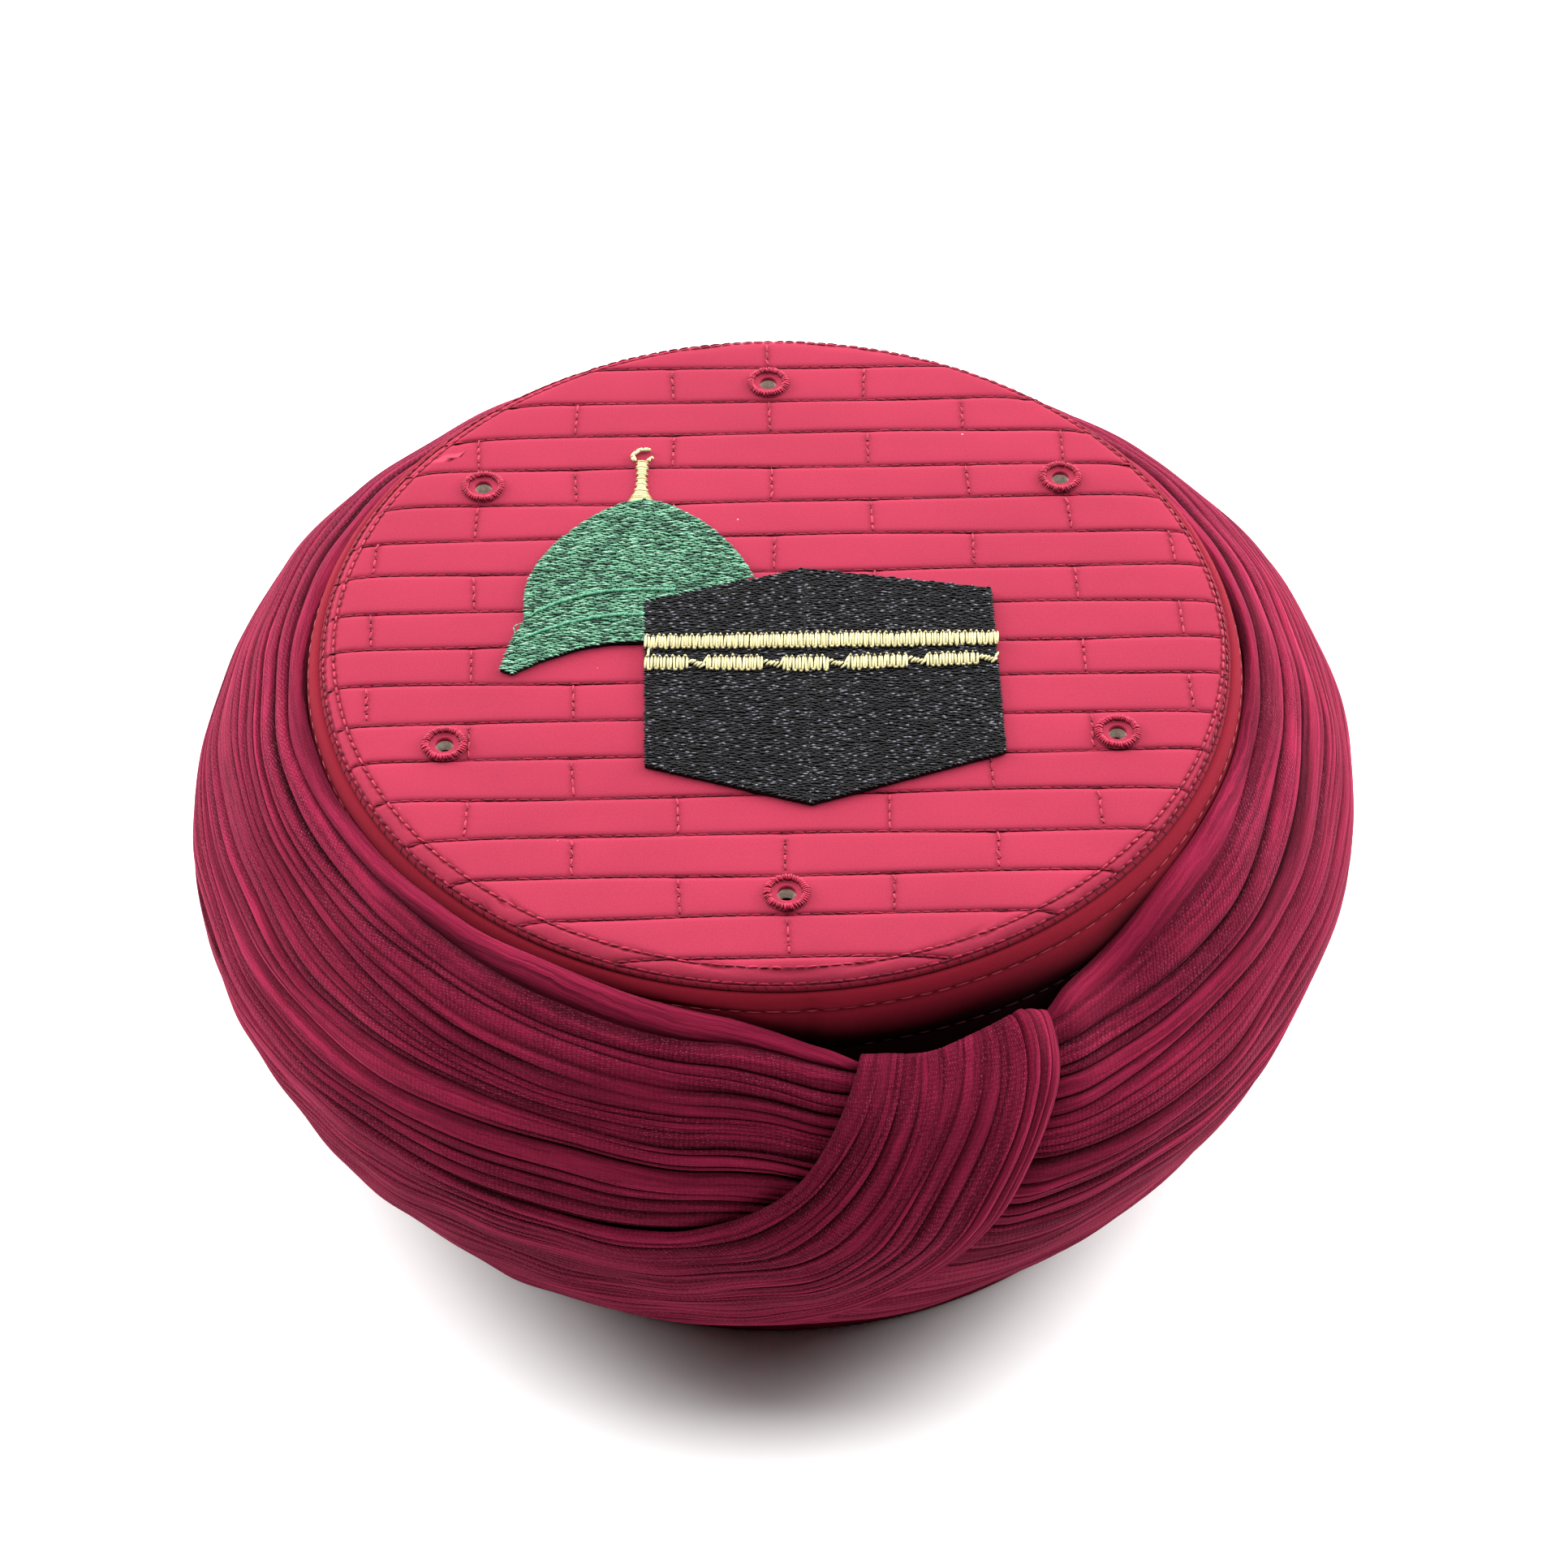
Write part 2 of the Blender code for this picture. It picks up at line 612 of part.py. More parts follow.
def ring_azimuths():
    """The azimuths of the wrap's sections: close together at the front fold, wide elsewhere."""
    fine = [FINE_FROM + (FINE_TO - FINE_FROM) * i / FINE_STEPS for i in range(FINE_STEPS)]
    wide = [FINE_TO + (360.0 + FINE_FROM - FINE_TO) * i / WIDE_STEPS for i in range(WIDE_STEPS)]
    return fine + [azimuth if azimuth < 180.0 else azimuth - 360.0 for azimuth in wide]


def add_loft(name, sections, closed, collection, material):
    """A solid through sections of as many points each, closed round or capped at its ends."""
    mesh_edit = bmesh.new()
    rings = [[mesh_edit.verts.new(point) for point in section] for section in sections]
    pairs = list(zip(rings, rings[1:]))
    if closed:
        pairs.append((rings[-1], rings[0]))
    for one, other in pairs:
        for i in range(len(one)):
            j = (i + 1) % len(one)
            low, high = (i, j) if i < j else (j, i)
            mesh_edit.faces.new((one[low], other[high], other[low]))
            mesh_edit.faces.new((one[low], one[high], other[high]))
    if not closed:
        for ring in (rings[0], rings[-1]):
            half = len(ring) // 2
            for i in range(half - 1):
                mesh_edit.faces.new((ring[i], ring[i + 1], ring[-2 - i], ring[-1 - i]))
    return mesh_object(name, mesh_edit, collection, material)


def add_turns(collection, material):
    """The turns of gauze wound round the band, from the rim up."""
    for number in range(TURNS):
        sections = [turn_section(number, azimuth) for azimuth in ring_azimuths()]
        add_loft(f"wrap_turn_{number + 1}", sections, True, collection, material)


def fold_stations():
    """The rows of the fold's table, with rows added so that none lie far apart round the wrap."""
    stations = [FOLD[0]]
    for row in FOLD[1:]:
        last = stations[-1]
        spread = max(row[0] - last[0], row[2] - last[2])
        count = max(1, math.ceil(spread / FOLD_STEP))
        for step in range(1, count + 1):
            stations.append(tuple(a + (b - a) * step / count for a, b in zip(last, row)))
    return stations


def fold_section(station):
    """One section across the fold: its ribbed outside, then its underside back again."""
    upper_azimuth, upper_run, lower_azimuth, lower_run, proud, middle_depth = station
    outside, underside = [], []
    for step in range(2 * FOLD_RIBS + 1):
        across = step / (2 * FOLD_RIBS)
        azimuth = upper_azimuth + across * (lower_azimuth - upper_azimuth)
        run = upper_run + across * (lower_run - upper_run)
        section = WrapSection(azimuth)
        rounded = 1.0 - abs(2 * across - 1) ** 3
        lift = proud * (FOLD_EDGE_SHARE + (1.0 - FOLD_EDGE_SHARE) * rounded)
        valley = RIB_DEPTH if step % 2 == 0 and 0 < step < 2 * FOLD_RIBS else 0.0
        depth = FOLD_EDGE_DEPTH + (middle_depth - FOLD_EDGE_DEPTH) * rounded
        outside.append(section.point(run, lift - valley))
        underside.append(section.point(run, -depth))
    return outside + underside[::-1]


def add_front_fold(collection, material):
    """The last turn: it comes round the left, rises across the front and tucks over the top edge."""
    sections = [fold_section(station) for station in fold_stations()]
    add_loft("front_fold", sections, False, collection, material)


def main():
    """Builds every piece of the turban."""
    clear_scene()
    parts = new_collection("wrapped_turban")
    cutters = new_collection("cutters")
    crown_cloth = new_material("crown cloth", (0.60, 0.05, 0.11), 0.75)
    band_cloth = new_material("band cloth", (0.33, 0.02, 0.045), 0.7)
    gauze = new_material("wine gauze", (0.19, 0.015, 0.05), 0.9)
    green = new_material("green thread", (0.03, 0.22, 0.08), 0.5)
    black = new_material("black thread", (0.012, 0.011, 0.016), 0.45)
    gold = new_material("pale gold thread", (0.80, 0.66, 0.22), 0.4)
    add_crown(parts, cutters, crown_cloth)
    add_side_band(parts, band_cloth)
    add_eyelets(parts, crown_cloth)
    add_embroidery(parts, green, black, gold)
    add_turns(parts, gauze)
    add_front_fold(parts, gauze)


main()
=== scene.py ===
"""Dresses the wrapped turban: quilted crown, side band, embroidery, pleated gauze and front fold.

Lengths are millimetres in the tables and metres in the meshes. An azimuth is counted in degrees
from the front, positive towards +X. A run is a distance down the outside of the wrap from its top
edge; it is below 0 where the cloth turns in over that edge.
"""

from __future__ import annotations

import logging
import math
from dataclasses import dataclass, field
from enum import Enum
from functools import partial

import bmesh
import bpy
import numpy as np
from bmesh.types import BMesh, BMFace
from bpy.types import Material, Mesh, Node, NodeTree, Object
from mathutils import Matrix, Vector
from numpy import ndarray
from numpy.random import Generator


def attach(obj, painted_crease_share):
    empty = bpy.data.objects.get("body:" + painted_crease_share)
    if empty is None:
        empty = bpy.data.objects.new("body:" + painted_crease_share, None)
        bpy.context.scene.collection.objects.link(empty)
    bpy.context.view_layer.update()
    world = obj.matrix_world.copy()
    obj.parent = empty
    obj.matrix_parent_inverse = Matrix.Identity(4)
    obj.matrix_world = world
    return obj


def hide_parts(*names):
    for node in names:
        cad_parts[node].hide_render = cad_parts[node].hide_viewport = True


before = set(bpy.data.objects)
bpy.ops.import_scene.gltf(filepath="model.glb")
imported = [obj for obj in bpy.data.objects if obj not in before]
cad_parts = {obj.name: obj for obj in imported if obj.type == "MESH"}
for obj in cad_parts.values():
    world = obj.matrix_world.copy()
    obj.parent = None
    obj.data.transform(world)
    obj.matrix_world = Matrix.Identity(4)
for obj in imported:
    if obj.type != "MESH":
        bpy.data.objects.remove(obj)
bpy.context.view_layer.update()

LOG = logging.getLogger("turban")
MM = 0.001
ROOT = "root"
UP = (0.0, 0.0, 1.0)

# The shader nodes used most
ATTRIBUTE = "ShaderNodeAttribute"
COORDINATES = "ShaderNodeTexCoord"
MATH = "ShaderNodeMath"
VECTOR_MATH = "ShaderNodeVectorMath"
MAP_RANGE = "ShaderNodeMapRange"
MIX = "ShaderNodeMix"
NOISE = "ShaderNodeTexNoise"
BUMP = "ShaderNodeBump"
MULTIPLY = {"operation": "MULTIPLY"}
SCALE = {"operation": "SCALE"}
RGBA = {"data_type": "RGBA"}
BLACK = (0.0, 0.0, 0.0, 1.0)
WHITE = (1.0, 1.0, 1.0, 1.0)

# The cap, as the frame has it
CROWN_TOP = 107.0
CROWN_UNDERSIDE = 104.0
QUILT_PITCH = 10.345
QUILT_ROWS = 18
QUILT_CENTRE = (0.5, -1.75)
QUILT_TURN = math.radians(1.64)
MIDDLE_ROW = 9
BRICK_LENGTH = 40.8
EYELETS = ((0.0, 1.5), (2.95, 4.5), (3.24, 11.6), (0.0, 15.5), (-3.23, 11.6), (-2.94, 4.5))

# The wrap's outline, as the frame has it
WRAP_RADIUS = 120.5
WIDEST_HEIGHT = 65.8
WIDEST_TILT = 2.5
WIDEST_SOFTNESS = 0.12
UPPER_POWER = 1.40
LOWER_POWER = 1.55
FOOT_RADIUS = 95.3
FOOT_HEIGHT = 9.8
FOOT_TILT = 1.2
RIM_ROUND = 3.3
WRAP_COLUMNS = ("azimuth", "edge_height", "edge_radius", "swell", "fold_opening")
WRAP = (
    (-180, 94.5, 96.5, 2.9, 0.0),
    (-150, 95.5, 96.5, 1.2, 0.0),
    (-120, 99.0, 96.3, 0.3, 0.0),
    (-90, 101.5, 95.8, -0.45, 0.0),
    (-60, 103.0, 95.2, 1.3, 0.0),
    (-40, 104.0, 95.0, 1.2, 0.0),
    (-20, 104.0, 95.0, 0.6, 0.0),
    (-5, 102.0, 95.8, 0.1, 0.0),
    (0, 98.5, 96.6, 0.0, 0.0),
    (4, 95.5, 98.0, 0.0, 0.2),
    (9, 94.8, 101.0, -0.2, 1.0),
    (31, 94.8, 101.0, -0.8, 1.0),
    (36, 94.0, 98.0, -0.8, 0.2),
    (41, 94.5, 96.5, -0.9, 0.0),
    (54, 100.0, 96.0, -1.1, 0.0),
    (62, 102.0, 95.8, -1.2, 0.0),
    (95, 101.0, 95.8, -0.25, 0.0),
    (120, 98.0, 96.3, 0.2, 0.0),
    (150, 95.0, 96.5, 1.2, 0.0),
)

# The front fold: its two edges and how far it stands proud, from its far end up to the pocket
FOLD_COLUMNS = ("upper_azimuth", "upper_run", "lower_azimuth", "lower_run", "proud")
FOLD = (
    (-140.0, 51.0, -140.0, 101.5, -2.8),
    (-116.0, 50.5, -116.0, 102.5, -1.6),
    (-100.0, 50.0, -100.0, 103.0, -0.2),
    (-85.0, 48.5, -80.0, 105.0, 0.1),
    (-60.0, 47.5, -50.0, 105.0, 0.2),
    (-40.0, 48.0, -22.0, 101.5, 0.6),
    (-25.0, 48.0, -7.0, 91.5, 1.2),
    (-15.0, 47.0, 2.5, 78.0, 2.0),
    (-8.0, 44.0, 9.0, 63.5, 2.6),
    (-3.8, 39.3, 14.8, 53.0, 3.0),
    (-0.2, 32.7, 18.8, 42.5, 3.2),
    (2.4, 26.7, 22.5, 31.0, 3.2),
    (4.8, 18.7, 26.5, 20.5, 3.0),
    (7.0, 10.2, 29.8, 11.0, 2.2),
    (8.2, 5.0, 30.9, 5.0, 1.2),
    (9.2, 0.0, 31.3, 0.0, 0.2),
    (9.6, -2.5, 31.3, -2.5, 0.0),
    (10.0, -5.0, 31.0, -5.0, 0.0),
    (11.0, -13.5, 30.0, -13.5, 0.0),
)
FOLD_START_AZIMUTH = -100.0
# A pleat's section, how far its overhang carries it, the width at which its crease is two thirds
# as deep as it gets, and how far apart the pleats lie on the cloth's own coordinates
PLEAT_SQUARENESS = 2.6
PLEAT_FULLNESS = 0.6
OVERHANG_CARRY = 9.48
NARROW_PLEAT = 2.6
CLOTH_STEP = 37.3

# The hollow in the wrap under the fold
RECESS_DEPTH = 3.1
RECESS_REACH = 7.0
MM_PER_DEGREE = 2.0


def linear(code: str) -> tuple[float, float, float, float]:
    """Turns an sRGB colour into linear light.

    Args:
        code: the colour in hex, such as #8e2a4c.

    Returns:
        Linear red, green and blue, and 1.
    """
    parts = [int(code[i : i + 2], 16) / 255 for i in (1, 3, 5)]
    straight = [p / 12.92 if p <= 0.04045 else ((p + 0.055) / 1.055) ** 2.4 for p in parts]
    return (*straight, 1.0)


def wire(
    tree: NodeTree, node: Node, settings: dict | None = None, links: dict | None = None
) -> Node:
    """Gives a node its settings and its links.

    Args:
        tree: the node tree that the node is in.
        node: the node.
        settings: values by property name, or by the name or number of an input.
        links: output sockets by the name or number of the input that each feeds.

    Returns:
        The same node.
    """
    for name, value in (settings or {}).items():
        if isinstance(name, str) and name in node.bl_rna.properties:
            setattr(node, name, value)
        else:
            node.inputs[name].default_value = value
    for name, source in (links or {}).items():
        tree.links.new(source, node.inputs[name])
    return node


def add_node(
    tree: NodeTree, kind: str, settings: dict | None = None, links: dict | None = None
) -> Node:
    """Adds a node of this kind, with its settings and links as wire takes them."""
    return wire(tree, tree.nodes.new(kind), settings, links)


def new_material(name: str) -> tuple[Material, NodeTree, Node]:
    """Starts a material.

    Args:
        name: the material's name.

    Returns:
        The material, its node tree and its Principled shader.
    """
    material = bpy.data.materials.new(name)
    material.use_nodes = True
    return material, material.node_tree, material.node_tree.nodes["Principled BSDF"]


def smooth_step(value: ndarray) -> ndarray:
    """0 below 0, 1 above 1 and smooth between."""
    held = np.clip(value, 0.0, 1.0)
    return held * held * (3.0 - 2.0 * held)


def blurred(values: ndarray, reach: float, closed: bool) -> ndarray:
    """Smooths values along their last axis by a bell.

    Args:
        values: what is smoothed.
        reach: the bell's reach, in samples.
        closed: whether the last sample is followed by the first.

    Returns:
        The smoothed values.
    """
    half = int(3 * reach)
    bell = np.exp(-0.5 * (np.arange(-half, half + 1) / reach) ** 2)
    bell /= bell.sum()
    pads = [(0, 0)] * (values.ndim - 1) + [(half, half)]
    padded = np.pad(values, pads, mode="wrap" if closed else "edge")
    return np.apply_along_axis(lambda line: np.convolve(line, bell, "valid"), -1, padded)


def round_the_wrap(points: tuple, azimuths: ndarray) -> ndarray:
    """Reads a short table right round the wrap.

    Args:
        points: rows of (azimuth, value).
        azimuths: where it is read, in degrees.

    Returns:
        The value at each azimuth.
    """
    rows = sorted(((azimuth + 180.0) % 360.0, value) for azimuth, value in points)
    places, values = zip(*rows)
    return np.interp((azimuths + 180.0) % 360.0, places, values, period=360.0)


def drift(rng: Generator, rows: int, angles: ndarray, waves: tuple) -> ndarray:
    """Slow seeded swings, one row each, that close up after a full turn.

    Args:
        rng: the seeded generator.
        rows: how many independent rows.
        angles: the azimuths in degrees.
        waves: how many swings a turn each component makes.

    Returns:
        An array of rows by angles, mostly between -1 and 1.
    """
    total = np.zeros((rows, len(angles)))
    for wave in waves:
        size = rng.normal(0.0, 1.0, (rows, 1))
        phase = rng.uniform(0.0, 2 * math.pi, (rows, 1))
        total += size * np.cos(wave * np.radians(angles)[None, :] + phase)
    return total / math.sqrt(len(waves))


def polar(radius: ndarray, angle: ndarray, height: float, centre: tuple = (0.0, 0.0)) -> ndarray:
    """Places points round a centre.

    Args:
        radius: one for all or one for each, in millimetres.
        angle: each one's angle from +X, in radians.
        height: one for all or one for each.
        centre: the centre's X and Y.

    Returns:
        The points, n by 3 in millimetres.
    """
    x, y = centre[0] + radius * np.cos(angle), centre[1] + radius * np.sin(angle)
    return np.stack([x, y, np.broadcast_to(height, angle.shape)], 1)


def turn_profile(
    edit: BMesh, profile: list, steps: int, centre: tuple = (0.0, 0.0), closed: bool = False
) -> None:
    """Turns a profile right round an upright axis.

    Args:
        edit: the mesh that it goes into.
        profile: points of (radius, height), in millimetres.
        steps: how many faces go round.
        centre: the axis's X and Y, in millimetres.
        closed: whether the last point joins the first.
    """
    x, y = centre
    points = [edit.verts.new(((x + radius) * MM, y * MM, height * MM)) for radius, height in profile]
    others = points[1:] + points[:1] if closed else points[1:]
    edges = [edit.edges.new(pair) for pair in zip(points, others)]
    axis = {"cent": (x * MM, y * MM, 0), "axis": (0, 0, 1), "angle": 2 * math.pi}
    bmesh.ops.spin(edit, geom=points + edges, steps=steps, use_merge=True, **axis)


def to_object(name: str, mesh: Mesh, materials: list) -> Object:
    """Puts a mesh in the scene, shaded smooth.

    Args:
        name: the object's name.
        mesh: its mesh.
        materials: its materials, in the order of their slots.

    Returns:
        The object.
    """
    for material in materials:
        mesh.materials.append(material)
    piece = bpy.data.objects.new(name, mesh)
    bpy.context.scene.collection.objects.link(piece)
    mesh.shade_smooth()
    return piece


def from_bmesh(name: str, edit: BMesh, materials: list) -> Object:
    """Turns a finished bmesh into an object with its faces outwards.

    Args:
        name: the object's name.
        edit: the bmesh, which is freed.
        materials: the object's materials.

    Returns:
        The object.
    """
    bmesh.ops.recalc_face_normals(edit, faces=edit.faces[:])
    mesh = bpy.data.meshes.new(name)
    edit.to_mesh(mesh)
    edit.free()
    piece = to_object(name, mesh, materials)
    mesh.set_sharp_from_angle(angle=math.radians(50))
    return piece


@dataclass
class ClothGrid:
    """A sheet worked out as rows and columns of points.

    Fields:
        points: rows by columns by 3, in metres.
        along: rows by columns, the cloth's own distance along a row, in millimetres.
        across: cells by columns by 2, the distance across at each cell's start and end.
        marks: rows by columns arrays that become attributes.
    """

    points: ndarray
    along: ndarray
    across: ndarray
    marks: dict[str, ndarray]

    def build(self, name: str, flip: bool, weld: bool) -> Mesh:
        """Makes the mesh, with its cloth coordinates and attributes.

        Args:
            name: the mesh's name.
            flip: whether the rows run so that the faces have to be turned over.
            weld: whether the first and last columns meet.

        Returns:
            The finished mesh.
        """
        rows, columns = self.points.shape[0] - 1, self.points.shape[1] - 1
        sheet = bmesh.new()
        bmesh.ops.create_grid(sheet, x_segments=columns, y_segments=rows, size=1.0)
        mesh = bpy.data.meshes.new(name)
        sheet.to_mesh(mesh)
        sheet.free()
        # The grid's points and faces come row by row, each row from low X to high X
        mesh.vertices.foreach_set("co", self.points.astype(np.float32).ravel())
        for mark, values in self.marks.items():
            layer = mesh.attributes.new(mark, "FLOAT", "POINT")
            layer.data.foreach_set("value", values.astype(np.float32).ravel())
        corner_u = np.stack(
            [self.along[:-1, :-1], self.along[:-1, 1:], self.along[1:, 1:], self.along[1:, :-1]], -1
        )
        start, end = self.across[..., 0], self.across[..., 1]
        corner_v = np.stack([start[:, :-1], start[:, 1:], end[:, 1:], end[:, :-1]], -1)
        layer = mesh.uv_layers.new(name="cloth")
        layer.uv.foreach_set("vector", np.stack([corner_u, corner_v], -1).astype(np.float32).ravel())
        mesh.update()
        if flip:
            mesh.flip_normals()
        if weld:
            edit = bmesh.new()
            edit.from_mesh(mesh)
            bmesh.ops.remove_doubles(edit, verts=edit.verts[:], dist=2e-6)
            edit.to_mesh(mesh)
            edit.free()
        return mesh

    def hem(self, first: bool, hidden: ndarray, across: ndarray, shade: float) -> None:
        """Adds hidden rows of points along an edge.

        Args:
            first: whether they go before the first row, or else after the last.
            hidden: the rows by columns by 3, in metres.
            across: the new cells' distances across, cells by columns by 2.
            shade: what the edge's depth mark, its painted crease shade, is multiplied by there.
        """
        edge, count = slice(0, 1) if first else slice(-1, None), len(hidden)

        def joined(new: ndarray, old: ndarray) -> ndarray:
            """The new rows on their side of the old ones."""
            return np.concatenate([new, old] if first else [old, new])

        for name, values in self.marks.items():
            rows = np.repeat(values[edge], count, axis=0) * (shade if name == "depth" else 1.0)
            self.marks[name] = joined(rows, values)
        self.along = joined(np.repeat(self.along[edge], count, axis=0), self.along)
        self.points = joined(hidden, self.points)
        self.across = joined(across, self.across)

    def flat(self, length: float) -> tuple[float, float]:
        """Works out the cloth's size when it is laid flat.

        Args:
            length: its length in metres.

        Returns:
            The length, and the width that goes with the cloth's surface and a hundredth to spare.
        """
        along = np.diff(self.points, axis=1)[:-1]
        across = np.diff(self.points, axis=0)[:, :-1]
        area = float(np.linalg.norm(np.cross(along, across), axis=-1).sum())
        return length, area * 1.01 / length


class WrapForm:
    """The wrap's smooth outline, read by azimuth, run and lift."""

    STEPS = 48
    SHARES = 200

    def __init__(self) -> None:
        """Works out the outline at each degree."""
        azimuths = np.arange(-180.0, 180.0)
        table = np.array(WRAP, dtype=float)
        turned = (azimuths + 180.0) % 360.0
        values = {
            name: blurred(
                np.interp(turned, (table[:, 0] + 180.0) % 360.0, table[:, i], period=360.0), 1.6, True
            )
            for i, name in enumerate(WRAP_COLUMNS)
            if i
        }
        self.edge_height = values["edge_height"]
        self.edge_radius = values["edge_radius"]
        self.opening = values["fold_opening"]
        lean = np.sin(np.radians(azimuths))
        middle = WIDEST_HEIGHT + WIDEST_TILT * lean
        foot = FOOT_HEIGHT + FOOT_TILT * lean
        widest = WRAP_RADIUS + values["swell"]
        radii, heights = [], []
        for step in range(-self.STEPS, self.STEPS + 1):
            upper = step < 0
            power = UPPER_POWER if upper else LOWER_POWER
            edge = self.edge_radius if upper else FOOT_RADIUS
            end = self.edge_height if upper else foot
            rise = math.sin(math.radians(90.0 * abs(step) / self.STEPS)) ** (2.0 / power)
            width = (1.0 - self.softened(rise, power)) ** (1.0 / power)
            radii.append(edge + (widest - edge) * width)
            heights.append(middle + (end - middle) * rise)
        radii, heights = np.stack(radii, 1), np.stack(heights, 1)
        steps = np.hypot(np.diff(radii, axis=1), np.diff(heights, axis=1))
        runs = np.concatenate([np.zeros((360, 1)), np.cumsum(steps, axis=1)], 1)
        self.length = runs[:, -1]
        shares = np.linspace(0.0, 1.0, self.SHARES + 1)
        self.radius = np.stack([np.interp(shares * r[-1], r, v) for r, v in zip(runs, radii)])
        self.height = np.stack([np.interp(shares * r[-1], r, v) for r, v in zip(runs, heights)])
        slope_r = blurred(np.gradient(self.radius, axis=1), 2.0, False)
        slope_h = blurred(np.gradient(self.height, axis=1), 2.0, False)
        size = np.hypot(slope_r, slope_h)
        self.out_r, self.out_h = -slope_h / size, slope_r / size

    @staticmethod
    def softened(rise: float, power: float) -> float:
        """Raises a share of the height to a power below 2, with the point at 0 rounded off.

        Args:
            rise: the share, 0 at the widest place and 1 at the edge.
            power: the power.

        Returns:
            The result, 0 to 1.
        """
        base = WIDEST_SOFTNESS**power
        full = (1.0 + WIDEST_SOFTNESS**2) ** (power / 2) - base
        return min(1.0, ((rise**2 + WIDEST_SOFTNESS**2) ** (power / 2) - base) / full)

    def at(self, table: ndarray, azimuth: ndarray) -> ndarray:
        """Reads a table that has one value a degree.

        Args:
            table: the values, from -180 degrees up.
            azimuth: where it is read.

        Returns:
            The value at each azimuth.
        """
        turned = (azimuth + 180.0) % 360.0
        low = np.floor(turned).astype(int) % 360
        share = turned - np.floor(turned)
        return table[low] * (1.0 - share) + table[(low + 1) % 360] * share

    def place(self, azimuth: ndarray, run: ndarray, lift: ndarray) -> ndarray:
        """The points at these azimuths and runs, lifted off the outline.

        Args:
            azimuth: degrees from the front.
            run: millimetres down the outside.
            lift: millimetres outwards.

        Returns:
            Points in metres, with a last axis of 3.
        """
        turned = (azimuth + 180.0) % 360.0
        low = np.floor(turned).astype(int) % 360
        high = (low + 1) % 360
        turn_share = turned - np.floor(turned)
        length = self.at(self.length, azimuth)
        spot = np.clip(run / length, 0.0, 1.0) * self.SHARES
        row = np.minimum(spot.astype(int), self.SHARES - 1)
        row_share = spot - row

        def read(table: ndarray) -> ndarray:
            """Reads a table between the four places next to each point.

            Args:
                table: azimuths by runs.

            Returns:
                The value at each point.
            """
            near, far = (
                table[at, row] * (1 - row_share) + table[at, row + 1] * row_share for at in (low, high)
            )
            return near * (1 - turn_share) + far * turn_share

        radius = read(self.radius) + read(self.out_r) * lift
        height = read(self.height) + read(self.out_h) * lift
        edge_radius, edge_height = self.at(self.edge_radius, azimuth), self.at(self.edge_height, azimuth)
        quarter = RIM_ROUND * math.pi / 2
        reach = RIM_ROUND + lift
        angle = np.clip(-run, 0.0, quarter) / RIM_ROUND
        drop = np.maximum(0.0, -run - quarter)
        over = run < 0
        radius = np.where(over, edge_radius - reach * np.sin(angle), radius)
        height = np.where(over, edge_height - RIM_ROUND + reach * np.cos(angle) - drop, height)
        angle = np.radians(azimuth)
        return np.stack([radius * np.sin(angle), -radius * np.cos(angle), height], -1) * MM

    @staticmethod
    def lumps(azimuth: ndarray, run: ndarray) -> ndarray:
        """Works out the wound cloth's soft swells, some 30 mm across, which close up after a turn.

        Args:
            azimuth: degrees from the front.
            run: millimetres down the outside.

        Returns:
            The lift in millimetres.
        """
        turn = np.radians(azimuth)
        return (
            0.22 * np.sin(9 * turn + run / 14.0)
            + 0.18 * np.sin(14 * turn - run / 9.0 + 1.3)
            + 0.14 * np.sin(23 * turn + run / 6.0 + 0.4)
        )

    @staticmethod
    def recess(azimuth: ndarray, run: ndarray) -> ndarray:
        """Works out how deep the wrap dips, to pass under the front fold.

        Args:
            azimuth: degrees from the front.
            run: millimetres down the outside.

        Returns:
            The depth in millimetres.
        """
        rows = [row for row in FOLD if row[0] >= FOLD_START_AZIMUTH]
        upper = [(row[0] * MM_PER_DEGREE, row[1]) for row in rows]
        lower = [(row[2] * MM_PER_DEGREE, row[3]) for row in rows]
        outline = np.array(upper + lower[::-1])
        x, y = azimuth * MM_PER_DEGREE, run
        nearest = np.full(azimuth.shape, np.inf)
        inside = np.zeros(azimuth.shape, dtype=bool)
        for one, other in zip(outline, np.roll(outline, -1, axis=0)):
            ax, ay = other - one
            share = np.clip(((x - one[0]) * ax + (y - one[1]) * ay) / max(ax * ax + ay * ay, 1e-9), 0, 1)
            away = np.hypot(x - one[0] - share * ax, y - one[1] - share * ay)
            nearest = np.minimum(nearest, away)
            if abs(ay) > 1e-9:
                crosses = (one[1] > y) != (other[1] > y)
                inside ^= crosses & (x < one[0] + (y - one[1]) * ax / ay)
        outside = np.where(inside, -nearest, nearest)
        return RECESS_DEPTH * (1.0 - smooth_step((outside + RECESS_REACH) / (2 * RECESS_REACH)))


class PleatStyle(Enum):
    """How a pleat of the gauze lies: (depth of its crease in mm, how plainly its weave shows)."""

    BROAD = (1.25, 1.0)
    RIB = (1.5, 0.55)
    FINE = (1.1, 0.75)
    CORD = (1.9, 0.12)

    @property
    def depth(self) -> float:
        """The depth of a wide pleat of this style, in millimetres."""
        return self.value[0]

    @property
    def weave(self) -> float:
        """How plainly the weave shows, 0 to 1."""
        return self.value[1]


@dataclass(frozen=True)
class PleatBand:
    """The gauze from one main crease to the next one down.

    Fields:
        crease: the upper crease, as (azimuth, run) points that go right round.
        ribs: how many pleats lie side by side in the band.
        style: how they lie.
    """

    crease: tuple
    ribs: int
    style: PleatStyle


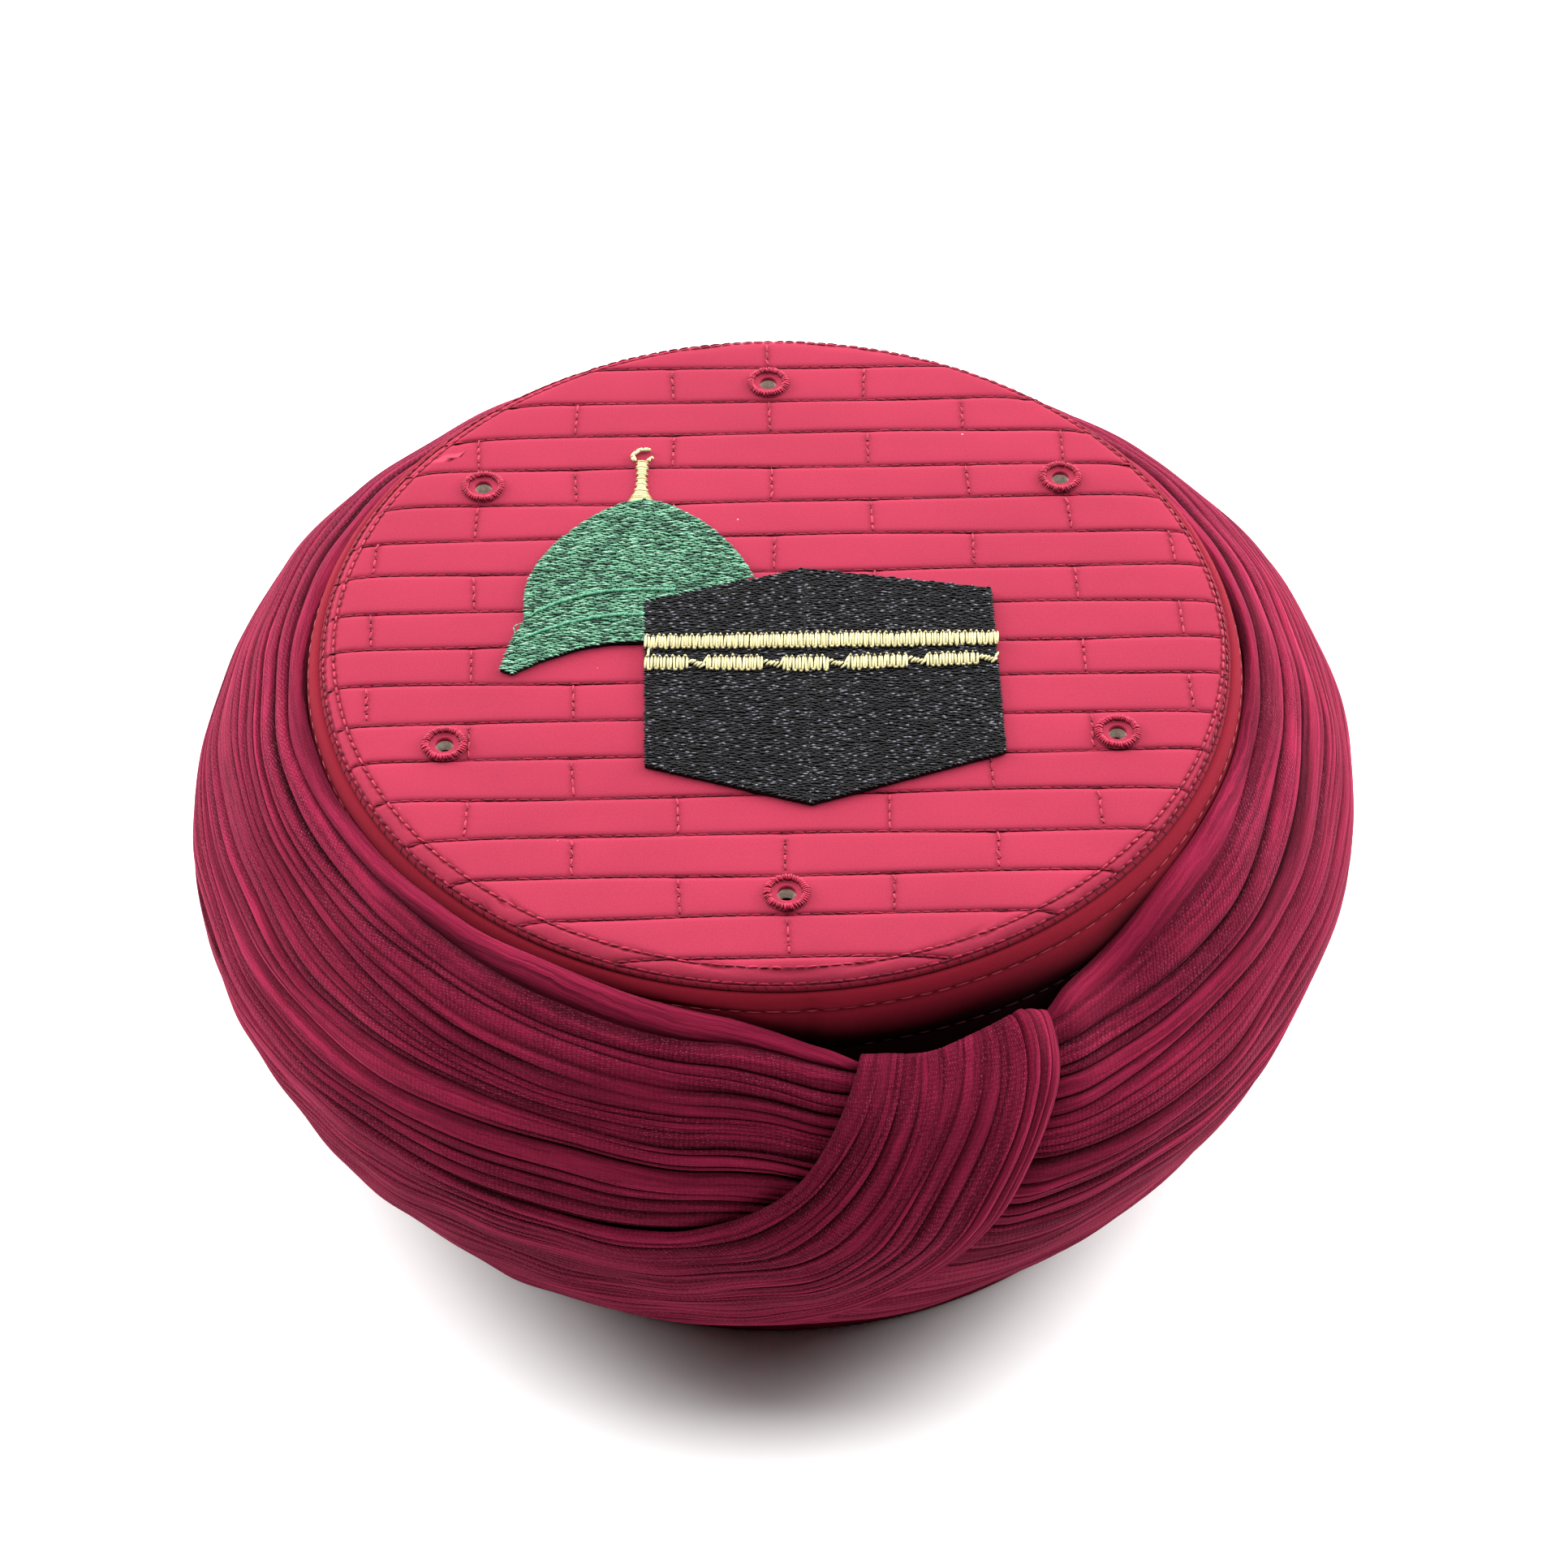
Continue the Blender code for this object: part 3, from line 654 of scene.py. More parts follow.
# The wrap's main creases from the top edge down, each read off the cloth where it shows
BANDS = (
    PleatBand(((-180, -3.2), (-60, -3.0), (0, -3.0), (60, -3.0), (120, -3.2)), 1, PleatStyle.CORD),
    PleatBand(
        ((-150, 3.6), (-100, 2.8), (-77, 3.6), (-57, 2.6), (-45, 3.0), (-31, 4.8), (-18, 6.0), (-9, 5.6))
        + ((-2, 3.4), (6, 1.8), (30, 2.0), (37, 3.0), (47, 3.8), (58, 5.0), (64, 4.0), (76, 2.4), (120, 3.4)),
        1,
        PleatStyle.BROAD,
    ),
    PleatBand(
        ((-150, 7.4), (-86, 6.8), (-64, 7.6), (-51, 7.8), (-36, 8.9), (-22, 10.4), (-9, 9.8), (1, 7.5))
        + ((12, 6.5), (34, 8.2), (42, 11.2), (49, 13.3), (56, 14.5), (63, 13.0), (76, 8.7), (110, 7.6)),
        2,
        PleatStyle.BROAD,
    ),
    PleatBand(
        ((-150, 13.0), (-86, 10.9), (-57, 12.4), (-40, 13.6), (-32, 15.2), (-18, 15.4), (-9, 14.8))
        + ((1, 11.5), (12, 11.5), (29, 13.2), (41, 17.1), (54, 19.9), (61, 20.0), (68, 18.4))
        + ((82, 14.0), (110, 12.6)),
        2,
        PleatStyle.RIB,
    ),
    PleatBand(
        ((-150, 19.0), (-88, 15.4), (-64, 16.0), (-50, 17.6), (-45, 18.8), (-33, 21.0), (-22, 22.1))
        + ((-7, 19.6), (1, 15.8), (12, 16.5), (27, 20.5), (42, 22.5), (57, 26.0), (64, 26.0))
        + ((77, 22.9), (115, 18.5)),
        5,
        PleatStyle.FINE,
    ),
    PleatBand(
        ((-150, 29.0), (-90, 28.1), (-71, 26.1), (-65, 25.9), (-52, 29.6), (-37, 28.0), (-19, 26.9))
        + ((-9, 26.0), (1, 21.2), (12, 22.5), (26, 28.2), (36, 31.3), (49, 36.0), (61, 34.5))
        + ((84, 31.0), (115, 28.0)),
        3,
        PleatStyle.RIB,
    ),
    PleatBand(
        ((-150, 36.5), (-100, 34.0), (-61, 34.0), (-39, 35.3), (-31, 33.5), (-18, 31.4), (-7, 30.2))
        + ((1, 25.7), (12, 29.0), (22, 38.0), (35, 40.4), (42, 44.7), (49, 49.0), (57, 50.9))
        + ((75, 46.0), (115, 37.0)),
        3,
        PleatStyle.RIB,
    ),
    PleatBand(
        ((-150, 43.0), (-100, 40.0), (-75, 39.5), (-61, 42.0), (-48, 43.4), (-29, 41.2), (-14, 38.8))
        + ((-1, 33.7), (12, 37.0), (22, 43.6), (36, 48.3), (49, 55.0), (60, 58.5), (85, 53.5), (115, 46.0)),
        3,
        PleatStyle.FINE,
    ),
    PleatBand(
        ((-150, 51.0), (-100, 50.0), (-60, 48.5), (-40, 49.5), (-20, 47.5), (0, 41.5), (12, 46.0))
        + ((23, 52.6), (36, 56.5), (45, 61.5), (60, 66.0), (85, 62.0), (115, 55.0)),
        3,
        PleatStyle.RIB,
    ),
)

# Below the last of those, creases at shares of what is left down to the foot. The cloth is drawn
# broad and smooth over the front at the right, and gathers again round the sides
LOWER_COLUMNS = ("azimuth", "second", "third", "fourth", "fifth", "sixth")
LOWER_SHARES = (
    (-180, 0.16, 0.34, 0.51, 0.68, 0.85),
    (-100, 0.17, 0.35, 0.52, 0.69, 0.86),
    (-20, 0.30, 0.48, 0.62, 0.76, 0.90),
    (10, 0.42, 0.60, 0.74, 0.85, 0.94),
    (45, 0.40, 0.57, 0.71, 0.83, 0.93),
    (80, 0.22, 0.40, 0.56, 0.72, 0.87),
    (120, 0.16, 0.33, 0.50, 0.67, 0.84),
)
LOWER_RIBS = (4, 4, 4, 3, 3, 3)
SMOOTH_BANDS = 3
SMOOTH_FRONT = ((-60, 1.0), (-20, 0.5), (0, 0.22), (50, 0.22), (90, 1.0), (180, 1.0))


@dataclass
class PleatSet:
    """Pleats side by side: where their creases run, and how each one is shaped."""

    bounds: ndarray
    depth: ndarray
    skew: ndarray
    overhang: ndarray
    weave: ndarray
    tint: ndarray
    phases: int = 10

    def section(self) -> tuple[ndarray, ndarray]:
        """Reads the pleats at their phases, close together at the creases.

        Returns:
            The place across, and the height above the crease as a share of 1, each a row for every
            phase of every pleat and one to close, by columns.
        """
        steps = (1.0 - np.cos(np.pi * np.arange(self.phases) / self.phases)) / 2
        places, heights = [], []
        for low, high, skew, over in zip(self.bounds, self.bounds[1:], self.skew, self.overhang):
            for step in steps:
                carried = step + over * OVERHANG_CARRY * step**3 * (1.0 - step)
                places.append(low + (high - low) * carried)
                bent = step ** np.exp(skew)
                heights.append((1.0 - np.abs(2 * bent - 1) ** PLEAT_SQUARENESS) ** PLEAT_FULLNESS)
        places.append(self.bounds[-1])
        heights.append(np.zeros_like(self.bounds[-1]))
        return np.stack(places), np.stack(heights)

    def spread(self, values: ndarray) -> ndarray:
        """One value a pleat, repeated for each of its phases and the closing row."""
        return np.concatenate([np.repeat(values, self.phases, axis=0), values[-1:]])

    def cloth_across(self, points: ndarray) -> ndarray:
        """The cloth's distance across, counted afresh from each pleat's crease.

        Args:
            points: rows by columns by 3, in metres.

        Returns:
            Cells by columns by 2, in millimetres.
        """
        gaps = np.linalg.norm(np.diff(points, axis=0), axis=-1) / MM
        cells = gaps.reshape(-1, self.phases, gaps.shape[-1])
        ends = np.cumsum(cells, axis=1)
        starts = ends - cells
        offset = (np.arange(len(cells)) * CLOTH_STEP)[:, None, None]
        both = np.stack([starts + offset, ends + offset], -1)
        return both.reshape(gaps.shape[0], gaps.shape[1], 2)


@dataclass(frozen=True)
class Gauze:
    """Cotton voile, dyed wine and crushed into pleats: matt, with painted shade in its creases and painted
    highlights on its lightest threads.
    """

    name: str = "wine_cotton_gauze"
    thread: str = "#6b142d"
    # The painted shade at the foot of a crease
    crease: str = "#2c040e"
    # The painted highlight's colour on those specks
    glint: str = "#8c3c54"
    bloom: str = "#d44a72"
    thread_pitch: float = 0.62
    row_pitch: float = 0.46

    def material(self) -> Material:
        """Makes the material, on the cloth's own coordinates in millimetres.

        Returns:
            The material.
        """
        material, tree, shader = new_material(self.name)
        add = partial(add_node, tree)
        cloth = add("ShaderNodeUVMap", {"uv_map": "cloth"}).outputs["UV"]
        depth, weave, tint = (
            add(ATTRIBUTE, {"attribute_name": mark}).outputs["Fac"] for mark in ("depth", "weave", "tint")
        )
        # Threads wander by a fraction of their spacing
        wander = add(NOISE, {"Scale": 0.35, "Detail": 2.0}, {"Vector": cloth}).outputs["Color"]
        centred = add(VECTOR_MATH, {"operation": "SUBTRACT", 1: (0.5, 0.5, 0.5)}, {0: wander}).outputs[0]
        sway = {"operation": "MULTIPLY_ADD", 1: (1.6, 0.9, 0.0)}
        strayed = add(VECTOR_MATH, sway, {0: centred, 2: cloth}).outputs[0]
        # The cloth was cut a little off its threads, so they cross the pleats at a slant
        slanted = add("ShaderNodeMapping", {"Rotation": (0.0, 0.0, 0.3)}, {"Vector": strayed}).outputs[0]
        # The weave is drawn at 0.62 mm by 0.46 mm, a little coarser than voile, so that it shows
        shades = {"Color1": BLACK, "Color2": WHITE, "Mortar": BLACK}
        pitches = {"Scale": 1.0, "Brick Width": self.thread_pitch, "Row Height": self.row_pitch}
        gap = {"Mortar Size": 0.17, "Mortar Smooth": 1.0}
        threads = add("ShaderNodeTexBrick", shades | pitches | gap, {"Vector": slanted})
        # Long fibres lie along the pleat
        stretched = add(VECTOR_MATH, MULTIPLY | {1: (0.10, 2.6, 1.0)}, {0: strayed}).outputs[0]
        long_grain = {"Scale": 1.0, "Detail": 3.0, "Roughness": 0.6}
        fibres = add(NOISE, long_grain, {"Vector": stretched}).outputs["Fac"]
        # The weave shows in patches some 15 mm across, and its lightest threads as specks of painted
        # highlight
        blotches = {"Scale": 0.06, "Detail": 4.0, "Roughness": 0.65}
        patches = add(NOISE, blotches, {"Vector": cloth}).outputs["Fac"]
        shown = add(MAP_RANGE, {1: 0.36, 2: 0.56, 3: 0.3, 4: 1.0}, {0: patches}).outputs[0]
        plain = add(MATH, MULTIPLY, {0: weave, 1: shown}).outputs[0]
        specks = add(MAP_RANGE, {1: 0.45, 2: 1.0, 3: 0.0, 4: 0.38}, {0: threads.outputs["Color"]}).outputs[0]
        painted_glint_share = add(MATH, MULTIPLY, {0: specks, 1: plain}).outputs[0]
        # The depth mark paints shade: the crease colour at a deep crease's foot, the thread colour on a
        # pleat's back
        painted_crease_share = add(MAP_RANGE, {1: 0.1, 2: 0.97, 3: 0.0, 4: 1.0}, {0: depth}).outputs[0]
        dye_and_shade = RGBA | {6: linear(self.crease), 7: linear(self.thread)}
        base = add(MIX, dye_and_shade, {0: painted_crease_share}).outputs[2]
        toned = add(MATH, {"operation": "MULTIPLY_ADD", 1: 0.3, 2: 1.0}, {0: tint}).outputs[0]
        fibre_tone = add(MAP_RANGE, {1: 0.3, 2: 0.7, 3: 0.72, 4: 1.25}, {0: fibres}).outputs[0]
        tone = add(MATH, MULTIPLY, {0: toned, 1: fibre_tone}).outputs[0]
        # Thicker threads cross the pleat every 0.95 mm
        waves = {"wave_type": "BANDS", "bands_direction": "X"}
        swing = {"Scale": 0.331, "Distortion": 1.2, "Detail": 1.0}
        crossing = add("ShaderNodeTexWave", waves | swing, {"Vector": strayed}).outputs["Fac"]
        gaps = add(MATH, {"operation": "MAXIMUM"}, {0: threads.outputs["Fac"], 1: crossing}).outputs[0]
        gap_tone = add(MATH, MULTIPLY, {0: gaps, 1: plain}).outputs[0]
        thread_light = add(MATH, {"operation": "MULTIPLY_ADD", 1: -0.85, 2: 0.32}, {0: gaps}).outputs[0]
        woven = add(MATH, {"operation": "MULTIPLY_ADD", 2: 1.0}, {0: thread_light, 1: plain}).outputs[0]
        tone = add(MATH, MULTIPLY, {0: tone, 1: woven}).outputs[0]
        # Crinkles 1 to 3 mm apart run with the pleats, between their creases
        drawn_out = add(VECTOR_MATH, MULTIPLY | {1: (0.018, 0.62, 1.0)}, {0: strayed}).outputs[0]
        crush = {"Scale": 1.0, "Detail": 3.0, "Distortion": 0.3}
        crinkles = add(NOISE, crush, {"Vector": drawn_out}).outputs["Fac"]
        crinkle_tone = add(MAP_RANGE, {1: 0.36, 2: 0.6, 3: 0.58, 4: 1.2}, {0: crinkles}).outputs[0]
        tone = add(MATH, MULTIPLY, {0: tone, 1: crinkle_tone}).outputs[0]
        dyed = add(VECTOR_MATH, SCALE, {0: base, "Scale": tone}).outputs[0]
        # Lays the painted highlight over the specks
        light = RGBA | {7: linear(self.glint)}
        colour = add(MIX, light, {0: painted_glint_share, 6: dyed}).outputs[2]
        raised = add(MATH, {"operation": "SUBTRACT"}, {0: fibres, 1: gap_tone}).outputs[0]
        soft = add(BUMP, {"Strength": 0.8, "Distance": 0.0011}, {"Height": crinkles}).outputs[0]
        fine = {"Strength": 0.6, "Distance": 0.00018}
        bump = add(BUMP, fine, {"Height": raised, "Normal": soft}).outputs[0]
        matt = {"Roughness": 0.9, "Specular IOR Level": 0.04}
        sheen = {"Sheen Weight": 0.28, "Sheen Roughness": 0.35, "Sheen Tint": linear(self.bloom)}
        wire(tree, shader, matt | sheen, {"Base Color": colour, "Normal": bump})
        return material


def crease_shade(height: ndarray, depth: ndarray) -> ndarray:
    """Works out the painted crease shade: 1 on a pleat's back, and darker towards a deep crease.

    Args:
        height: the height above the crease, as a share of 1.
        depth: the crease's depth in millimetres.

    Returns:
        How light the painted shade leaves the cloth, 0 to 1.
    """
    return 1.0 - (1.0 - np.clip(height, 0, 1)) * np.clip(0.2 + depth / 0.9, 0.3, 1.0)


@dataclass
class Wrap:
    """The turns of pleated gauze round the cap, as an upper and a lower cloth."""

    form: WrapForm
    finish: Material
    columns: int = 360
    phases: int = 10
    lower_phases: int = 9
    bulge: float = 0.9
    crest: float = 0.25
    # Where the cloth is tucked away: its distance across, clear of the pleats', and its painted shade
    hidden_offset: float = 500.0
    hidden_shade: float = 0.3
    seed: int = 11

    def creases(self, azimuths: ndarray) -> ndarray:
        """Reads every main crease round the wrap.

        Args:
            azimuths: one for each column.

        Returns:
            The creases' runs, a row each from the top edge to the foot.
        """
        upper = [round_the_wrap(band.crease, azimuths) for band in BANDS]
        length = self.form.at(self.form.length, azimuths)
        lower = []
        for column in range(1, len(LOWER_COLUMNS)):
            share = round_the_wrap(tuple((row[0], row[column]) for row in LOWER_SHARES), azimuths)
            lower.append(upper[-1] + share * (length - upper[-1]))
        return blurred(np.stack(upper + lower + [length]), 2.2, True)

    def pleats(self, azimuths: ndarray) -> tuple[PleatSet, PleatSet, ndarray, ndarray]:
        """Splits the bands into pleats.

        Args:
            azimuths: one for each column.

        Returns:
            The upper and the lower set of pleats, and the main creases of each.
        """
        rng = np.random.default_rng(self.seed)
        main = self.creases(azimuths)
        styles = [(band.ribs, band.style) for band in BANDS[:-1]]
        lower_style = [(count, PleatStyle.RIB) for count in LOWER_RIBS]
        lower_style[0] = (LOWER_RIBS[0], BANDS[-1].style)
        smooth_front = round_the_wrap(SMOOTH_FRONT, azimuths)
        sets = []
        for first, plan, phases in ((0, styles, self.phases), (len(styles), lower_style, self.lower_phases)):
            edges, depths, weaves = [], [], []
            for number, (count, style) in enumerate(plan):
                top, bottom = main[first + number], main[first + number + 1]
                weights = np.exp(0.5 * drift(rng, count, azimuths, (1, 2, 3, 5)))
                shares = np.cumsum(weights, axis=0) / weights.sum(axis=0)
                starts = np.concatenate([np.zeros((1, len(azimuths))), shares[:-1]])
                runs = top + starts * (bottom - top)
                widths = (shares - starts) * (bottom - top)
                calm = smooth_front if first and number < SMOOTH_BANDS else 1.0
                depths.append(style.depth * (1.0 - np.exp(-widths / NARROW_PLEAT)) * calm)
                weaves.append(np.full(runs.shape, style.weave))
                edges.append(runs)
            edges.append(main[first + len(plan)][None, :])
            depth = np.concatenate(depths)
            count = len(depth)
            come_and_go = smooth_step(0.6 + 0.55 * drift(rng, count, azimuths, (2, 3, 5)))
            depth = depth * (0.18 + 0.97 * come_and_go)
            sets.append(
                PleatSet(
                    bounds=np.concatenate(edges),
                    depth=np.clip(depth, 0.05, 2.4),
                    skew=0.25 + 0.45 * drift(rng, count, azimuths, (1, 3, 4)),
                    overhang=np.clip(0.12 + 0.2 * drift(rng, count, azimuths, (1, 2, 3)), 0.0, 0.45),
                    weave=np.clip(
                        np.concatenate(weaves) + 0.25 * drift(rng, count, azimuths, (1, 2, 5)), 0.0, 1.0
                    ),
                    tint=0.6 * drift(rng, count, azimuths, (1, 2, 6)),
                    phases=phases,
                )
            )
        split = len(styles)
        return sets[0], sets[1], main[: split + 1], main[split:]

    def under_fold(self, azimuths: ndarray, runs: ndarray) -> ndarray:
        """How deep the cloth dips for the front fold: fully at the front, barely where it tapers off."""
        share = 0.12 + 0.88 * smooth_step((azimuths + 15.0) / 15.0)
        return self.form.recess(azimuths, runs) * share

    def cloth(self, pleats: PleatSet, main: ndarray, azimuths: ndarray, tuck: tuple) -> ClothGrid:
        """Works one cloth out.

        Args:
            pleats: the cloth's pleats.
            main: its main creases, between which it bulges.
            azimuths: one for each column.
            tuck: (row placed first, rows of (run, lift) added) at the hidden edge.

        Returns:
            The grid of points.
        """
        run, height = pleats.section()
        depth = pleats.spread(pleats.depth)
        band_share = np.zeros_like(run)
        for top, bottom in zip(main, main[1:]):
            share = (run - top) / np.maximum(bottom - top, 1e-6)
            band_share = np.where((share >= 0) & (share <= 1), share, band_share)
        swell = self.bulge * ((1.0 - np.abs(2 * band_share - 1) ** 3) ** 0.8 - 1.0)
        turned = np.broadcast_to(azimuths, run.shape)
        lift = self.crest + swell + depth * (height - 1.0) + self.form.lumps(turned, run)
        lift = lift - self.under_fold(turned, run)
        points = self.form.place(turned, run, lift)
        # The depth mark is painted shade: darker towards each deep crease, and darker where the cloth dips
        # between its bulges
        marks = {
            "depth": crease_shade(height, depth) * (0.75 + 0.25 * np.clip(1 + swell / self.bulge, 0, 1)),
            "weave": pleats.spread(pleats.weave),
            "tint": pleats.spread(pleats.tint),
        }
        along = np.radians(turned) * np.hypot(points[..., 0], points[..., 1]) / MM
        grid = ClothGrid(points, along, pleats.cloth_across(points), marks)
        at_start, extra = tuck
        hidden = []
        for edge_run, edge_lift in extra:
            runs = np.broadcast_to(edge_run, azimuths.shape)
            lifts = edge_lift - self.under_fold(azimuths, runs)
            hidden.append(self.form.place(azimuths, runs, lifts))
        hidden = np.stack(hidden)
        strip = np.concatenate([hidden, points[:1]] if at_start else [points[-1:], hidden])
        gaps = np.linalg.norm(np.diff(strip, axis=0), axis=-1) / MM
        ends = np.cumsum(gaps, axis=0) + self.hidden_offset
        grid.hem(at_start, hidden, np.stack([ends - gaps, ends], -1), self.hidden_shade)
        return grid

    def build(self) -> list[Object]:
        """Builds and dresses both cloths.

        Returns:
            The upper and the lower cloth.
        """
        azimuths = np.linspace(-180.0, 180.0, self.columns + 1)
        upper, lower, upper_main, lower_main = self.pleats(azimuths[:-1])
        upper, lower = self.closed(upper), self.closed(lower)
        upper_main = np.concatenate([upper_main, upper_main[:, :1]], 1)
        lower_main = np.concatenate([lower_main, lower_main[:, :1]], 1)
        opening = self.form.at(self.form.opening, azimuths)
        length = self.form.at(self.form.length, azimuths)
        tucked_in = ((-9.0 - 5.0 * opening, -0.6), (-6.0 - 1.0 * opening, -0.9))
        turned_under = ((length, -2.6), (length - 2.0, -4.0))
        pieces = []
        upper_nodes = ("wrap_turn_6", "wrap_turn_5", "wrap_turn_4")
        lower_nodes = ("wrap_turn_3", "wrap_turn_2", "wrap_turn_1")
        for name, pleats, main, tuck, nodes in (
            ("upper_wrap_gauze", upper, upper_main, (True, tucked_in), upper_nodes),
            ("lower_wrap_gauze", lower, lower_main, (False, turned_under), lower_nodes),
        ):
            grid = self.cloth(pleats, main, azimuths, tuck)
            piece = to_object(name, grid.build(name, flip=True, weld=True), [self.finish])
            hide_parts(*nodes)
            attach(piece, ROOT)
            girth = float(np.ptp(grid.along, axis=1).mean()) * MM
            grid.flat(girth)
            pieces.append(piece)
        return pieces

    @staticmethod
    def closed(pleats: PleatSet) -> PleatSet:
        """Repeats the first column of a set of pleats at its end.

        Args:
            pleats: the set, which is changed.

        Returns:
            The same set.
        """
        for name in ("bounds", "depth", "skew", "overhang", "weave", "tint"):
            values = getattr(pleats, name)
            setattr(pleats, name, np.concatenate([values, values[:, :1]], 1))
        return pleats


@dataclass
class FrontFold:
    """The bundle of pleats that runs up across the front and over the top edge."""

    form: WrapForm
    finish: Material
    # Widths of the pleats at the crest, from the upper left edge to the lower right one, and where
    # the bundle has spread out at its far end
    widths: tuple = (
        (2.8, 1.2, 3.6, 1.4, 2.0, 4.8, 1.3, 2.6, 1.2, 4.2, 1.5)
        + (2.9, 1.3, 4.4, 1.4, 2.4, 1.2, 2.0, 3.4, 3.6, 2.6)
    )
    far_widths: tuple = (
        (2.2, 2.8, 1.9, 3.0, 2.0, 3.4, 2.4, 1.8, 3.1, 2.2, 2.9)
        + (1.7, 3.3, 2.1, 2.6, 1.9, 3.0, 2.4, 1.7, 1.6, 1.4)
    )
    cords: tuple = (18, 19, 20)
    step: float = 1.1
    phases: int = 10
    edge_share: float = 0.45
    edge_drop: float = 1.6
    seed: int = 5

    def stations(self) -> dict[str, ndarray]:
        """Reads the fold's table at even steps along its middle, and smooths it.

        Returns:
            Each column by its name, and the distance gone along the middle.
        """
        table = np.array(FOLD, dtype=float)
        middle = np.stack(
            [(table[:, 0] + table[:, 2]) / 2 * MM_PER_DEGREE, (table[:, 1] + table[:, 3]) / 2], 1
        )
        gone = np.concatenate([[0.0], np.cumsum(np.linalg.norm(np.diff(middle, axis=0), axis=1))])
        count = int(gone[-1] / self.step)
        spots = np.linspace(0.0, gone[-1], count + 1)
        read = {
            name: blurred(np.interp(spots, gone, table[:, i]), 3.0, False)
            for i, name in enumerate(FOLD_COLUMNS)
        }
        read["gone"] = spots
        return read

    def build(self) -> list[Object]:
        """Builds and dresses the fold.

        Returns:
            The fold, alone in a list.
        """
        rng = np.random.default_rng(self.seed)
        at = self.stations()
        count = len(at["gone"])
        turns = at["gone"] / at["gone"][-1] * 360.0
        near = smooth_step((at["upper_azimuth"] + 45.0) / 50.0)
        widths = np.outer(np.array(self.widths) / sum(self.widths), near)
        widths += np.outer(np.array(self.far_widths) / sum(self.far_widths), 1.0 - near)
        widths *= np.exp(0.32 * drift(rng, len(widths), turns, (1, 2, 3, 5)))
        bounds = np.concatenate([np.zeros((1, count)), np.cumsum(widths, axis=0) / widths.sum(axis=0)])
        across_mm = np.hypot(
            (at["lower_azimuth"] - at["upper_azimuth"]) * MM_PER_DEGREE, at["lower_run"] - at["upper_run"]
        )
        pleat_mm = np.diff(bounds, axis=0) * across_mm
        kinds = [PleatStyle.CORD if i in self.cords else PleatStyle.RIB for i in range(len(self.widths))]
        style_depth = np.array([kind.depth for kind in kinds])[:, None]
        depth = style_depth * (1.0 - np.exp(-pleat_mm / NARROW_PLEAT))
        come_and_go = 0.12 + 1.0 * smooth_step(0.45 + 0.6 * drift(rng, len(kinds), turns, (2, 4, 6)))
        come_and_go[list(self.cords)] = 1.0
        depth *= come_and_go * (1.0 + 0.5 * (1.0 - near))
        middle_run = (at["upper_run"] + at["lower_run"]) / 2
        at_crest = np.array([0.55 if kind is PleatStyle.CORD else 0.1 for kind in kinds])[:, None]
        depth *= at_crest + (1.0 - at_crest) * smooth_step((middle_run - 2.0) / 22.0)
        weave = np.array([kind.weave + (0.35 if kind is PleatStyle.RIB else 0.0) for kind in kinds])[:, None]
        pleats = PleatSet(
            bounds=bounds,
            depth=np.clip(depth, 0.1, 2.2),
            skew=0.1 + 0.5 * drift(rng, len(kinds), turns, (1, 2, 3)),
            overhang=np.clip(0.08 + 0.15 * drift(rng, len(kinds), turns, (1, 2)), 0.0, 0.3),
            weave=np.clip(weave + 0.15 * drift(rng, len(kinds), turns, (1, 3)), 0, 1),
            tint=0.5 * drift(rng, len(kinds), turns, (1, 2, 4)),
            phases=self.phases,
        )
        share, height = pleats.section()
        depth = pleats.spread(pleats.depth)
        rounded = 1.0 - np.abs(2 * share - 1) ** 3
        lift = at["proud"] * (self.edge_share + (1 - self.edge_share) * rounded) + 0.35
        lift = lift + depth * (height - 1.0)
        near_crest = smooth_step((15.0 - middle_run) / 12.0)
        sag = 1.8 * smooth_step((share - 0.86) / 0.14) + 1.9 * np.exp(-(((share - 0.34) / 0.27) ** 2))
        lift = lift - sag * near_crest
        azimuth = at["upper_azimuth"] + share * (at["lower_azimuth"] - at["upper_azimuth"])
        run = at["upper_run"] + share * (at["lower_run"] - at["upper_run"])
        lift = lift + self.form.lumps(azimuth * 1.7, run * 1.3) * np.clip(share * (1 - share) * 8, 0, 1)
        points = self.form.place(azimuth, run, lift)
        # The depth mark paints shade into the creases, and more where the fold turns over the top edge into
        # the pocket
        marks = {
            "depth": crease_shade(height, depth) * smooth_step((run + 9.0) / 9.0),
            "weave": pleats.spread(pleats.weave),
            "tint": pleats.spread(pleats.tint),
        }
        along = np.broadcast_to(at["gone"], share.shape)
        grid = ClothGrid(points, along, pleats.cloth_across(points), marks)
        block = np.stack([np.zeros((1, count)), np.full((1, count), self.edge_drop)], -1)
        for first, edge in ((True, slice(0, 1)), (False, slice(-1, None))):
            sunk = self.form.place(azimuth[edge], run[edge], lift[edge] - self.edge_drop)
            grid.hem(first, sunk, block, 1.0)
        piece = to_object("front_fold_gauze", grid.build("front_fold_gauze", True, False), [self.finish])
        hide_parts("front_fold")
        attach(piece, ROOT)
        return [piece]


def quilt_to_crown(across: ndarray, along: ndarray) -> tuple[ndarray, ndarray]:
    """Turns places on the quilting's own axes into places on the crown.

    Args:
        across: along the rows, in millimetres.
        along: across the rows.

    Returns:
        X and Y on the crown.
    """
    cos, sin = math.cos(QUILT_TURN), math.sin(QUILT_TURN)
    x = QUILT_CENTRE[0] + cos * across - sin * along
    y = QUILT_CENTRE[1] + sin * across + cos * along
    return x, y


